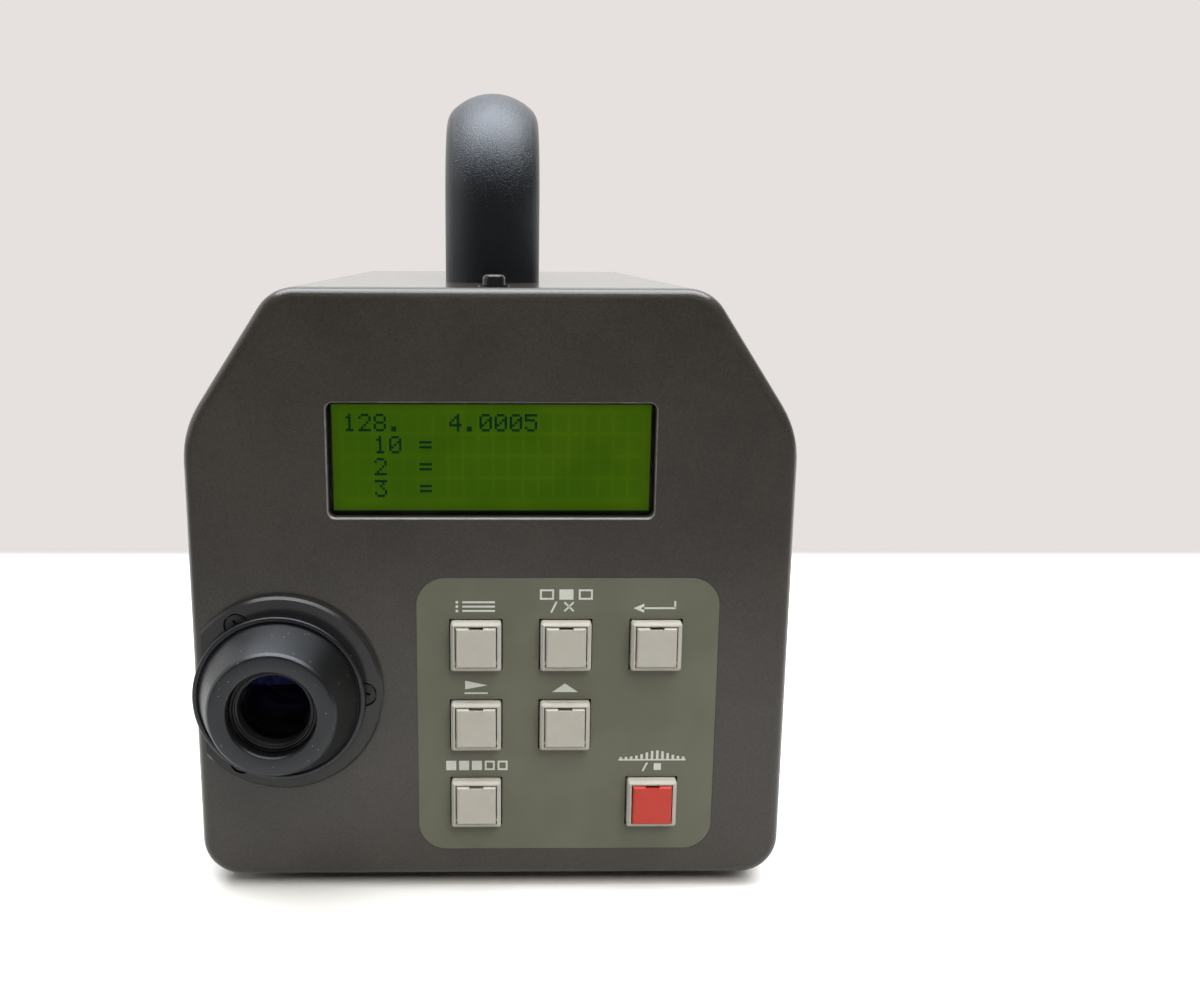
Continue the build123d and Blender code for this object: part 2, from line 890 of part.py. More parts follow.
# Keypad: the overlay sheet, seven square switch housings and their board
with BuildPart() as keypad_overlay:
    with BuildSketch(across(overlay_recess)):
        with Locations(overlay_centre):
            RectangleRounded(overlay_width, overlay_tall, overlay_round)
        with Locations(*key_points):
            Rectangle(hole_side, hole_side, mode=Mode.SUBTRACT)
    extrude(amount=overlay_thickness)
keypad_overlay.part.label = "keypad_overlay"
export_step(keypad_overlay.part, "parts/keypad_overlay.step")

pin_depth = key_pin_sink - key_proud
with BuildPart() as key_housings:
    with BuildSketch(across(-housing_proud)):
        with Locations(*key_points):
            RectangleRounded(housing_side, housing_side, housing_round)
    extrude(amount=-housing_proud - key_board_depth)
    chamfer(
        [e for face in faces().group_by(Axis.Y)[0] for e in face.edges()],
        housing_bevel,
    )
    with BuildSketch(across(-housing_proud)):
        with Locations(*key_points):
            Rectangle(well_width, well_tall)
    extrude(amount=-housing_proud - well_depth, mode=Mode.SUBTRACT)
    with BuildSketch(across(well_depth)):
        with Locations(*key_points):
            Circle(contact_radius)
    extrude(amount=contact_height)
    for x, height in key_points:
        pin_height = height - well_tall / 2 + key_foot_gap + key_pin_rise
        with BuildSketch(beside(x)):
            with Locations((pin_depth, pin_height)):
                Circle(key_pin_radius + running_gap)
        extrude(
            amount=well_width / 2 + key_pin_reach + running_gap,
            both=True,
            mode=Mode.SUBTRACT,
        )
key_housings.part.label = "key_housings"
export_step(key_housings.part, "parts/key_housings.step")

# Seven hinged caps, each on a pin along its lower edge
for key_name, (key_x, key_height) in key_places.items():
    foot = key_height - well_tall / 2 + key_foot_gap
    with BuildPart() as key_cap:
        with BuildSketch(across(-key_proud)):
            with Locations((key_x, foot + key_tall / 2)):
                Rectangle(key_width, key_tall)
        extrude(amount=-key_thickness)
        chamfer(faces().sort_by(Axis.Y)[0].edges(), key_bevel)
        with BuildSketch(across(-key_proud)):
            with Locations((key_x, foot + key_tall - notch_tall / 2)):
                Rectangle(notch_width, notch_tall)
        extrude(amount=-key_thickness, mode=Mode.SUBTRACT)
        with BuildSketch(across(key_thickness - key_proud)):
            with Locations((key_x, foot + key_tall / 2)):
                Circle(stem_radius)
        extrude(amount=key_thickness - key_proud - stem_end)
        with BuildSketch(beside(key_x)):
            with Locations((pin_depth, foot + key_pin_rise)):
                Circle(key_pin_radius)
        extrude(amount=well_width / 2 + key_pin_reach, both=True)
    key_cap.part.label = key_name
    export_step(key_cap.part, f"parts/{key_name}.step")

with BuildPart() as keypad_board:
    with BuildSketch(across(key_board_depth)):
        with Locations(keypad_centre):
            Rectangle(keypad_board_width, keypad_board_tall)
    extrude(amount=-board_thickness)
keypad_board.part.label = "keypad_board"
export_step(keypad_board.part, "parts/keypad_board.step")

# Eyepiece: a flange with a flat towards the side, and the sleeve through it
with BuildPart() as eyepiece_flange:
    with BuildSketch(turning(*eye_centre)):
        with BuildLine():
            Polyline(
                (-sleeve_reach, sleeve_bore),
                (-sleeve_reach, sleeve_outer),
                (-flange_thickness, sleeve_outer),
                (-flange_thickness, flange_radius - flange_bevel),
                (flange_bevel - flange_thickness, flange_radius),
                (0, flange_radius),
                (0, sleeve_outer),
                (sleeve_tail, sleeve_outer),
                (sleeve_tail, sleeve_bore),
                close=True,
            )
        make_face()
    revolve(axis=line_of(*eye_centre))
    with BuildSketch(across(0)):
        with Locations((eye_x - flange_flat - flange_radius / 2, axis_height)):
            Rectangle(flange_radius, 2 * flange_radius)
    extrude(amount=flange_thickness, mode=Mode.SUBTRACT)
    with BuildSketch(across(-flange_thickness)):
        with Locations(eye_centre):
            with PolarLocations(eye_screw_orbit, eye_screw_count):
                Circle(eye_recess_radius)
    extrude(amount=-eye_recess_depth, mode=Mode.SUBTRACT)
    with BuildSketch(across(0)):
        with Locations(eye_centre):
            with PolarLocations(eye_screw_orbit, eye_screw_count):
                Circle(eye_screw_shank + slip)
    extrude(amount=flange_thickness, mode=Mode.SUBTRACT)
eyepiece_flange.part.label = "eyepiece_flange"
export_step(eyepiece_flange.part, "parts/eyepiece_flange.step")

eye_screw_seat = eye_recess_depth - flange_thickness
with BuildPart() as eyepiece_screws:
    with BuildSketch(across(eye_screw_seat)):
        with Locations(eye_centre):
            with PolarLocations(eye_screw_orbit, eye_screw_count):
                Circle(eye_screw_head)
    extrude(amount=eye_screw_head_height)
    with BuildSketch(across(eye_screw_seat)):
        with Locations(eye_centre):
            with PolarLocations(eye_screw_orbit, eye_screw_count):
                Circle(eye_screw_shank)
    extrude(amount=eye_screw_seat - panel_thickness)
    with BuildSketch(across(eye_screw_seat - eye_screw_head_height)):
        with Locations(eye_centre):
            with PolarLocations(eye_screw_orbit, eye_screw_count):
                Rectangle(screw_slot_length, screw_slot_width)
                Rectangle(screw_slot_width, screw_slot_length)
    extrude(amount=-screw_slot_depth, mode=Mode.SUBTRACT)
eyepiece_screws.part.label = "eyepiece_screws"
export_step(eyepiece_screws.part, "parts/eyepiece_screws.step")

# The focusing ring on the sleeve, and the rubber cup over it
with BuildPart() as diopter_ring:
    with BuildSketch(turning(*eye_centre)):
        with BuildLine():
            Polyline(
                (-ring_reach, ring_bore),
                (-ring_reach, ring_outer),
                (-flange_thickness - ring_stand, ring_outer),
                (-flange_thickness - ring_stand, sleeve_outer + running_gap),
                (ring_web - ring_reach, sleeve_outer + running_gap),
                (ring_web - ring_reach, ring_bore),
                close=True,
            )
        make_face()
    revolve(axis=line_of(*eye_centre))
diopter_ring.part.label = "diopter_ring"
export_step(diopter_ring.part, "parts/diopter_ring.step")

cup_shoulder = cup_rim_back + cup_rim_band
with BuildPart() as eyecup:
    with BuildSketch(turning(*eye_centre)) as cup:
        with BuildLine():
            Polyline(
                (-cup_rim_back, ring_outer),
                (-cup_rim_back, cup_rim_radius),
                (-cup_shoulder, cup_rim_radius),
                (-cup_shoulder, cup_cone_radius),
                (-cup_reach, cup_nose_radius),
                (-cup_reach, cup_bore),
                (-ring_reach, cup_bore),
                (-ring_reach, ring_outer),
                close=True,
            )
        make_face()
        fillet(cup.vertices().group_by(Axis.X)[0], cup_nose_round)
    revolve(axis=line_of(*eye_centre))
eyecup.part.label = "eyecup"
export_step(eyecup.part, "parts/eyecup.step")

# The sliding lens cell inside, its lens and its threaded ring
with BuildPart() as eye_lens_cell:
    with BuildSketch(turning(*eye_centre)):
        with BuildLine():
            Polyline(
                (-cell_reach, cell_pocket),
                (-cell_reach, cell_nose_radius),
                (-cell_shoulder, cell_nose_radius),
                (-cell_shoulder, cell_radius),
                (cell_tail, cell_radius),
                (cell_tail, cell_bore),
                (-cell_seat, cell_bore),
                (-cell_seat, cell_pocket),
                close=True,
            )
        make_face()
    revolve(axis=line_of(*eye_centre))
eye_lens_cell.part.label = "eye_lens_cell"
export_step(eye_lens_cell.part, "parts/eye_lens_cell.step")

eye_lens_depth = -cell_seat - eye_lens_edge
with BuildPart() as eye_lens:
    with BuildSketch(turning(*eye_centre)):
        add(
            lens_section(
                eye_lens_depth,
                eye_lens_radius,
                eye_lens_edge,
                eye_lens_land,
                eye_lens_crown,
                eye_lens_crown,
            )
        )
    revolve(axis=line_of(*eye_centre))
eye_lens.part.label = "eye_lens"
export_step(eye_lens.part, "parts/eye_lens.step")

with BuildPart() as eye_lens_retainer:
    with BuildSketch(turning(*eye_centre)):
        with BuildLine():
            Polyline(
                (retainer_setback - cell_reach, retainer_bore + retainer_setback),
                (retainer_setback - cell_reach, retainer_radius),
                (eye_lens_depth - slip, retainer_radius),
                (eye_lens_depth - slip, retainer_bore),
                (2 * retainer_setback - cell_reach, retainer_bore),
                close=True,
            )
        make_face()
    revolve(axis=line_of(*eye_centre))
eye_lens_retainer.part.label = "eye_lens_retainer"
export_step(eye_lens_retainer.part, "parts/eye_lens_retainer.step")

# Objective: its mounting ring on the lens panel and the fixed barrel
with BuildPart() as lens_mount:
    with BuildSketch(turning(*lens_centre)):
        with BuildLine():
            Polyline(
                (body_depth, tail_radius + slip),
                (body_depth, mount_radius),
                (mount_face - rim_bevel, mount_radius),
                (mount_face, mount_radius - rim_bevel),
                (mount_face, tail_radius + slip),
                close=True,
            )
        make_face()
    revolve(axis=line_of(*lens_centre))
    with Locations(*mount_planes):
        CounterSinkHole(screw_shank + slip, screw_head_radius + slip, mount_thickness, screw_angle)
lens_mount.part.label = "lens_mount"
export_step(lens_mount.part, "parts/lens_mount.step")

base_end = mount_face + barrel_base_length
barrel_front = mount_face + barrel_length
with BuildPart() as lens_barrel:
    with BuildSketch(turning(*lens_centre)):
        with BuildLine():
            Polyline(
                (body_depth - tail_reach, tail_bore),
                (body_depth - tail_reach, tail_radius),
                (mount_face, tail_radius),
                (mount_face, barrel_base_radius),
                (base_end, barrel_base_radius),
                (base_end, barrel_radius),
                (barrel_front, barrel_radius),
                (barrel_front, barrel_bore),
                (barrel_front - barrel_bore_depth, barrel_bore),
                (barrel_front - barrel_bore_depth, tail_bore),
                close=True,
            )
        make_face()
    revolve(axis=line_of(*lens_centre))
lens_barrel.part.label = "lens_barrel"
export_step(lens_barrel.part, "parts/lens_barrel.step")

# Focusing ring, and the ribbed rubber grip round it
focus_start = base_end + ring_clearance
focus_end = focus_start + focus_length
with BuildPart() as focus_ring:
    with BuildSketch(turning(*lens_centre)):
        with BuildLine():
            Polyline(
                (focus_start, barrel_radius + running_gap),
                (focus_start, focus_radius - rim_bevel),
                (focus_start + rim_bevel, focus_radius),
                (focus_end - rim_bevel, focus_radius),
                (focus_end, focus_radius - rim_bevel),
                (focus_end, barrel_radius + running_gap),
                close=True,
            )
        make_face()
    revolve(axis=line_of(*lens_centre))
focus_ring.part.label = "focus_ring"
export_step(focus_ring.part, "parts/focus_ring.step")

rib_angle = grip_rib_share * 360 / grip_rib_count
groove_radius = grip_radius - grip_rib_depth
rib_width = 2 * grip_radius * math.sin(math.radians(rib_angle / 2))
with BuildPart() as focus_grip:
    with BuildSketch(across(focus_start + grip_margin)):
        with Locations(lens_centre):
            Circle(groove_radius)
            with PolarLocations(groove_radius, grip_rib_count):
                Rectangle(2 * grip_rib_depth, rib_width)
            Circle(focus_radius, mode=Mode.SUBTRACT)
    extrude(amount=2 * grip_margin - focus_length)
focus_grip.part.label = "focus_grip"
export_step(focus_grip.part, "parts/focus_grip.step")

# Front cell: it slides out of the barrel as the ring turns
cell_step = barrel_front + front_cell_gap
lens_seat = lens_front - front_lens_back
with BuildPart() as front_cell:
    with BuildSketch(turning(*lens_centre)):
        with BuildLine():
            Polyline(
                (barrel_front - front_cell_tail, barrel_bore - front_cell_wall),
                (barrel_front - front_cell_tail, barrel_bore - running_gap),
                (cell_step, barrel_bore - running_gap),
                (cell_step, front_cell_radius),
                (lens_front - rim_bevel, front_cell_radius),
                (lens_front, front_cell_radius - rim_bevel),
                (lens_front, filter_radius),
                (lens_front - filter_depth, filter_radius),
                (lens_front - filter_depth, front_lens_radius + slip),
                (lens_seat, front_lens_radius + slip),
                (lens_seat, barrel_bore - front_cell_wall),
                close=True,
            )
        make_face()
    revolve(axis=line_of(*lens_centre))
front_cell.part.label = "front_cell"
export_step(front_cell.part, "parts/front_cell.step")

with BuildPart() as front_lens:
    with BuildSketch(turning(*lens_centre)):
        add(
            lens_section(
                lens_seat,
                front_lens_radius,
                front_lens_edge,
                front_lens_land,
                front_lens_inner_crown,
                front_lens_crown,
            )
        )
    revolve(axis=line_of(*lens_centre))
front_lens.part.label = "front_lens"
export_step(front_lens.part, "parts/front_lens.step")

retainer_seat = lens_seat + front_lens_edge
with BuildPart() as front_retainer:
    with BuildSketch(turning(*lens_centre)):
        with BuildLine():
            Polyline(
                (retainer_seat, front_retainer_bore),
                (retainer_seat, front_lens_radius),
                (retainer_seat + front_retainer_thickness, front_lens_radius),
                (retainer_seat + front_retainer_thickness, front_retainer_bore + rim_bevel),
                close=True,
            )
        make_face()
    revolve(axis=line_of(*lens_centre))
front_retainer.part.label = "front_retainer"
export_step(front_retainer.part, "parts/front_retainer.step")

rear_lens_depth = body_depth - tail_reach + rear_lens_inset
with BuildPart() as rear_lens:
    with BuildSketch(turning(*lens_centre)):
        add(
            lens_section(
                rear_lens_depth,
                tail_bore - running_gap,
                rear_lens_edge,
                small_lens_land,
                rear_lens_crown,
                rear_lens_crown,
            )
        )
    revolve(axis=line_of(*lens_centre))
rear_lens.part.label = "rear_lens"
export_step(rear_lens.part, "parts/rear_lens.step")

# Connector panel: a tray let into the right side, open to the outside
connector_centre = (connector_depth, connector_height)
switch_centre = (connector_depth + switch_offset, connector_height)
inlet_centre = (connector_depth + inlet_offset, connector_height)
data_centre = (connector_depth + data_offset, connector_height)
tray_back = tray_floor - tray_wall
flange_face = half_width - cover_wall
with BuildPart() as connector_panel:
    with BuildSketch(beside(tray_back)):
        with Locations(connector_centre):
            RectangleRounded(
                recess_length + 2 * tray_wall,
                recess_tall + 2 * tray_wall,
                recess_round + tray_wall,
            )
    extrude(amount=flange_face - tray_back)
    with BuildSketch(beside(flange_face)):
        with Locations(connector_centre):
            RectangleRounded(
                recess_length + 2 * tray_flange,
                recess_tall + 2 * tray_flange,
                recess_round + tray_flange,
            )
    extrude(amount=-tray_wall)
    with BuildSketch(beside(tray_floor)):
        with Locations(connector_centre):
            RectangleRounded(recess_length, recess_tall, recess_round)
    extrude(amount=flange_face - tray_floor, mode=Mode.SUBTRACT)
    with BuildSketch(beside(tray_floor)):
        with Locations(switch_centre):
            Rectangle(switch_length + 2 * slip, switch_tall + 2 * slip)
        with Locations(inlet_centre):
            Circle(inlet_radius + slip)
        with Locations(data_centre):
            Rectangle(data_body_length + 2 * slip, data_body_tall + 2 * slip)
    extrude(amount=-tray_wall, mode=Mode.SUBTRACT)
connector_panel.part.label = "connector_panel"
export_step(connector_panel.part, "parts/connector_panel.step")

# Power switch: a flanged body with a well, and the rocker on its pin
switch_face = tray_floor + switch_flange
well_length = switch_length - 2 * switch_wall
well_height = switch_tall - 2 * switch_wall
rocker_pin_x = switch_face - rocker_pin_sink
with BuildPart() as power_switch:
    with BuildSketch(beside(tray_floor)):
        with Locations(switch_centre):
            Rectangle(switch_length + 2 * switch_margin, switch_tall + 2 * switch_margin)
    extrude(amount=switch_flange)
    with BuildSketch(beside(tray_floor)):
        with Locations(switch_centre):
            Rectangle(switch_length, switch_tall)
    extrude(amount=-switch_body_depth)
    with BuildSketch(beside(switch_face)):
        with Locations(switch_centre):
            Rectangle(well_length, well_height)
    extrude(amount=-rocker_well, mode=Mode.SUBTRACT)
    switch_cross = across(switch_centre[0])
    with BuildSketch(switch_cross):
        with Locations((rocker_pin_x, connector_height)):
            Circle(rocker_pin_radius + running_gap)
    extrude(
        amount=well_length / 2 + rocker_pin_reach + running_gap,
        both=True,
        mode=Mode.SUBTRACT,
    )
power_switch.part.label = "power_switch"
export_step(power_switch.part, "parts/power_switch.step")

# The rocker's two faces slope up from its middle; at rest its lower half stands out
with BuildPart() as power_rocker:
    with BuildSketch(switch_cross) as rocker_side:
        with Locations((rocker_pin_x, connector_height)):
            Circle(rocker_radius)
        with BuildLine(mode=Mode.PRIVATE) as rocker_outline:
            middle = (rocker_pin_x + rocker_pin_sink + rocker_face, connector_height)
            back_x = rocker_pin_x - rocker_back
            low_tip = (
                middle[0] + rocker_radius * math.tan(math.radians(2 * rocker_tilt)),
                connector_height - rocker_radius,
            )
            high_tip = (middle[0], connector_height + rocker_radius)
            Polyline(
                middle,
                high_tip,
                (back_x, high_tip[1]),
                (back_x, low_tip[1]),
                low_tip,
                close=True,
            )
        make_face(rocker_outline.edges(), mode=Mode.INTERSECT)
    extrude(amount=well_length / 2 - rocker_gap, both=True)
    with BuildSketch(switch_cross):
        with Locations((rocker_pin_x, connector_height)):
            Circle(rocker_pin_radius)
    extrude(amount=well_length / 2 + rocker_pin_reach, both=True)
power_rocker.part.label = "power_rocker"
export_step(power_rocker.part, "parts/power_rocker.step")

# Power inlet: a round socket with its centre pin
inlet_face = tray_floor + inlet_flange_thickness
with BuildPart() as power_inlet:
    with BuildSketch(beside(tray_floor)):
        with Locations(inlet_centre):
            Circle(inlet_flange_radius)
    extrude(amount=inlet_flange_thickness)
    with BuildSketch(beside(tray_floor)):
        with Locations(inlet_centre):
            Circle(inlet_radius)
    extrude(amount=-inlet_body_depth)
    with BuildSketch(beside(inlet_face)):
        with Locations(inlet_centre):
            Circle(inlet_bore)
    extrude(amount=-inlet_pocket, mode=Mode.SUBTRACT)
    with BuildSketch(beside(inlet_face - inlet_pocket)):
        with Locations(inlet_centre):
            Circle(inlet_pin)
    extrude(amount=inlet_pocket - inlet_pin_setback)
power_inlet.part.label = "power_inlet"
export_step(power_inlet.part, "parts/power_inlet.step")

# Data connector: its flange, D-shaped shell, nine holes and two hexagon studs
hole_rows = (
    (data_hole_rows / 2, [data_hole_pitch * n for n in (-2, -1, 0, 1, 2)]),
    (-data_hole_rows / 2, [data_hole_pitch * n / 2 for n in (-3, -1, 1, 3)]),
)
hole_points = [
    (data_centre[0] + offset, data_centre[1] + rise) for rise, row in hole_rows for offset in row
]
data_flange_length = hex_spacing + 2 * data_flange_end
stud_points = [(data_centre[0] + side * hex_spacing / 2, data_centre[1]) for side in (-1, 1)]
shell_face = tray_floor + data_flange_thickness + data_shell_reach
with BuildPart() as data_connector:
    with BuildSketch(beside(tray_floor)):
        with Locations(data_centre):
            RectangleRounded(data_flange_length, data_flange_tall, data_flange_round)
    extrude(amount=data_flange_thickness)
    with BuildSketch(beside(tray_floor)):
        with Locations(data_centre):
            Rectangle(data_body_length, data_body_tall)
    extrude(amount=-data_body_depth)
    with BuildSketch(beside(tray_floor)) as shell:
        with BuildLine():
            low_half = data_shell_length / 2 - data_shell_slant
            shell_low = data_centre[1] - data_shell_tall / 2
            shell_high = data_centre[1] + data_shell_tall / 2
            Polyline(
                (data_centre[0] - low_half, shell_low),
                (data_centre[0] + low_half, shell_low),
                (data_centre[0] + data_shell_length / 2, shell_high),
                (data_centre[0] - data_shell_length / 2, shell_high),
                close=True,
            )
        make_face()
        fillet(shell.vertices(), data_shell_round)
    extrude(amount=shell_face - tray_floor)
    with BuildSketch(beside(shell_face)):
        with Locations(*hole_points):
            Circle(data_hole_radius)
    extrude(amount=-data_hole_depth, mode=Mode.SUBTRACT)
data_connector.part.label = "data_connector"
export_step(data_connector.part, "parts/data_connector.step")

with BuildPart() as connector_studs:
    with BuildSketch(beside(tray_floor + data_flange_thickness)):
        with Locations(*stud_points):
            RegularPolygon(hex_radius, 6)
            Circle(hex_bore, mode=Mode.SUBTRACT)
    extrude(amount=hex_length)
connector_studs.part.label = "connector_studs"
export_step(connector_studs.part, "parts/connector_studs.step")

# Optical bench: a plate on the base, two saddles and two mirror columns
bench_top = cover_wall + bench_thickness
bench_centre = ((bench_left + bench_right) / 2, (bench_start + bench_end) / 2)
column_back = (mirror_thickness + mirror_seat_gap) * math.sqrt(2)
saddle_left = bench_left + saddle_inset
saddle_height = axis_height + saddle_cap
motor_centre = (lens_x, axis_height - motor_drop)
with BuildPart() as optical_bench:
    with BuildSketch(level(cover_wall)):
        with Locations(bench_centre):
            RectangleRounded(bench_right - bench_left, bench_end - bench_start, bench_round)
        with Locations((0, tripod_depth)):
            RectangleRounded(
                tripod_width + 2 * tripod_flange + 2 * bench_clearance,
                tripod_length + 2 * tripod_flange + 2 * bench_clearance,
                tripod_round,
                mode=Mode.SUBTRACT,
            )
    extrude(amount=bench_thickness)
    for start, right in (
        (saddle_front, eye_x + saddle_side),
        (saddle_rear, lens_x + saddle_side),
    ):
        with BuildSketch(across(start)) as saddle:
            with Locations(((saddle_left + right) / 2, (bench_top + saddle_height) / 2)):
                Rectangle(right - saddle_left, saddle_height - bench_top)
            fillet(saddle.vertices().group_by(Axis.Y)[-1], saddle_round)
        extrude(amount=-saddle_thickness)
    for x, direction in ((lens_x, 1), (eye_x, -1)):
        with BuildSketch(level(cover_wall)):
            with BuildLine():
                Polyline(
                    (x - column_half + direction * column_back, mirror_depth - column_half),
                    (x + column_half + direction * column_back, mirror_depth + column_half),
                    (
                        x + direction * (column_half + column_back),
                        mirror_depth - direction * column_half,
                    ),
                    close=True,
                )
            make_face()
        extrude(amount=axis_height + column_cap - cover_wall)
    with BuildSketch(across(0)):
        with Locations(eye_centre):
            Circle(tube_radius + running_gap)
    extrude(amount=-saddle_rear - saddle_thickness, mode=Mode.SUBTRACT)
    with BuildSketch(across(saddle_rear)):
        with Locations(lens_centre):
            Circle(guide_radius + running_gap)
        with Locations(motor_centre):
            Circle(motor_radius + running_gap)
    extrude(amount=-saddle_thickness, mode=Mode.SUBTRACT)
    with BuildSketch(across(mirror_depth - 2 * column_half)):
        with Locations(lens_centre):
            Circle(column_hole)
    extrude(amount=-4 * column_half, mode=Mode.SUBTRACT)
    with Locations(*bench_planes):
        Hole(screw_shank + slip, depth=screw_length + slip)
optical_bench.part.label = "optical_bench"
export_step(optical_bench.part, "parts/optical_bench.step")

# The mirror with the measuring pinhole, and the one that turns the view to the eyepiece
with BuildPart() as finder_mirrors:
    for x, direction in ((lens_x, 1), (eye_x, -1)):
        mirror_plane = Plane(
            (x, face_y + mirror_depth, ground + axis_height),
            x_dir=(0, 0, 1),
            z_dir=(direction, -direction, 0),
        )
        with BuildSketch(mirror_plane):
            Rectangle(mirror_side, mirror_side)
            if direction == 1:
                Circle(pinhole_radius, mode=Mode.SUBTRACT)
        extrude(amount=mirror_thickness)
finder_mirrors.part.label = "finder_mirrors"
export_step(finder_mirrors.part, "parts/finder_mirrors.step")

with BuildPart() as finder_tube:
    with BuildSketch(across(tube_start)):
        with Locations(eye_centre):
            Circle(tube_radius)
            Circle(tube_bore, mode=Mode.SUBTRACT)
    extrude(amount=tube_start - tube_end)
finder_tube.part.label = "finder_tube"
export_step(finder_tube.part, "parts/finder_tube.step")

# Shutter: a small motor in the rear saddle, and a blade that swings over the beam
with BuildPart() as shutter_motor:
    with BuildSketch(across(motor_start)):
        with Locations(motor_centre):
            Circle(motor_radius)
    extrude(amount=motor_start - motor_end)
    with BuildSketch(across(motor_end)):
        with Locations(motor_centre):
            Circle(shaft_radius + running_gap)
    extrude(amount=shaft_sink + slip, mode=Mode.SUBTRACT)
shutter_motor.part.label = "shutter_motor"
export_step(shutter_motor.part, "parts/shutter_motor.step")

with BuildPart() as shutter_blade:
    with BuildSketch(across(blade_depth)):
        with Locations(motor_centre):
            Circle(hub_radius)
        with Locations(lens_centre):
            Circle(blade_disc)
        with Locations((lens_x, axis_height - motor_drop / 2)):
            Rectangle(blade_arm, motor_drop)
    extrude(amount=-blade_thickness)
    with BuildSketch(across(blade_depth)):
        with Locations(motor_centre):
            Circle(hub_radius)
    extrude(amount=-hub_length)
    with BuildSketch(across(motor_end - shaft_sink)):
        with Locations(motor_centre):
            Circle(shaft_radius)
    extrude(amount=motor_end - shaft_sink - blade_depth)
shutter_blade.part.label = "shutter_blade"
export_step(shutter_blade.part, "parts/shutter_blade.step")

# Light guide: from behind the pinhole, round a bend, into the spectrometer's side
spectro_right = half_width - spectro_inset
spectro_left = spectro_right - spectro_width
guide_end = spectro_left + spectro_wall - slit_skin
guide_bend = guide_bend_share * (guide_end - lens_x)
with BuildPart() as light_guide:
    with BuildLine(level(axis_height)):
        first = Line((lens_x, guide_start), (lens_x, guide_turn_depth + guide_bend))
        bend = JernArc(first @ 1, first % 1, guide_bend, quarter_turn)
        Line(bend @ 1, (guide_end, guide_turn_depth))
    with BuildSketch(across(guide_start)):
        with Locations(lens_centre):
            Circle(guide_radius)
    sweep()
light_guide.part.label = "light_guide"
export_step(light_guide.part, "parts/light_guide.step")

# Spectrometer: a cast box with lens walls and a pedestal, and its lid
spectro_floor = bench_top + spectro_wall
spectro_middle = ((spectro_left + spectro_right) / 2, (spectro_start + spectro_end) / 2)
spectro_length = spectro_end - spectro_start
spectro_height = axis_height + spectro_cap
holder_height = axis_height + holder_cap
collimator_x = spectro_left + collimator_inset
imaging_x = spectro_left + imaging_inset
grating_x = spectro_left + grating_inset
with BuildPart() as spectrometer_housing:
    with BuildSketch(level(bench_top)):
        with Locations(spectro_middle):
            RectangleRounded(spectro_width, spectro_length, spectro_round)
    extrude(amount=spectro_height - bench_top)
    with BuildSketch(level(spectro_floor)):
        with Locations(spectro_middle):
            RectangleRounded(
                spectro_width - 2 * spectro_wall,
                spectro_length - 2 * spectro_wall,
                spectro_round - spectro_wall,
            )
    extrude(amount=spectro_height - spectro_floor, mode=Mode.SUBTRACT)
    with BuildSketch(level(bench_top)):
        with Locations((collimator_x, guide_turn_depth)):
            Rectangle(holder_thickness, 2 * holder_half)
        with Locations((imaging_x, imaging_depth)):
            Rectangle(2 * holder_half, holder_thickness)
    extrude(amount=holder_height - bench_top)
    with BuildSketch(level(bench_top)):
        grating_back = grating_thickness + mirror_seat_gap + pedestal_side / 2
        turn = math.radians(grating_tilt)
        with Locations(
            Location(
                (
                    grating_x + grating_back * math.cos(turn),
                    guide_turn_depth - grating_back * math.sin(turn),
                ),
                -grating_tilt,
            )
        ):
            Rectangle(pedestal_side, pedestal_side)
    extrude(amount=holder_height - bench_top)
    with BuildSketch(beside(collimator_x)):
        with Locations((guide_turn_depth, axis_height)):
            Circle(inner_lens_radius + running_gap)
    extrude(amount=holder_thickness, both=True, mode=Mode.SUBTRACT)
    with BuildSketch(across(imaging_depth)):
        with Locations((imaging_x, axis_height)):
            Circle(inner_lens_radius + running_gap)
    extrude(amount=holder_thickness, both=True, mode=Mode.SUBTRACT)
    with BuildSketch(beside(spectro_left)):
        with Locations((guide_turn_depth, axis_height)):
            Circle(guide_radius + running_gap)
    extrude(amount=spectro_wall - slit_skin, mode=Mode.SUBTRACT)
    with BuildSketch(beside(spectro_left)):
        with Locations((guide_turn_depth, axis_height)):
            Rectangle(slit_width, slit_tall)
    extrude(amount=spectro_wall, mode=Mode.SUBTRACT)
spectrometer_housing.part.label = "spectrometer_housing"
export_step(spectrometer_housing.part, "parts/spectrometer_housing.step")

with BuildPart() as spectrometer_lid:
    with BuildSketch(level(spectro_height)):
        with Locations(spectro_middle):
            RectangleRounded(spectro_width, spectro_length, spectro_round)
    extrude(amount=lid_thickness)
spectrometer_lid.part.label = "spectrometer_lid"
export_step(spectrometer_lid.part, "parts/spectrometer_lid.step")

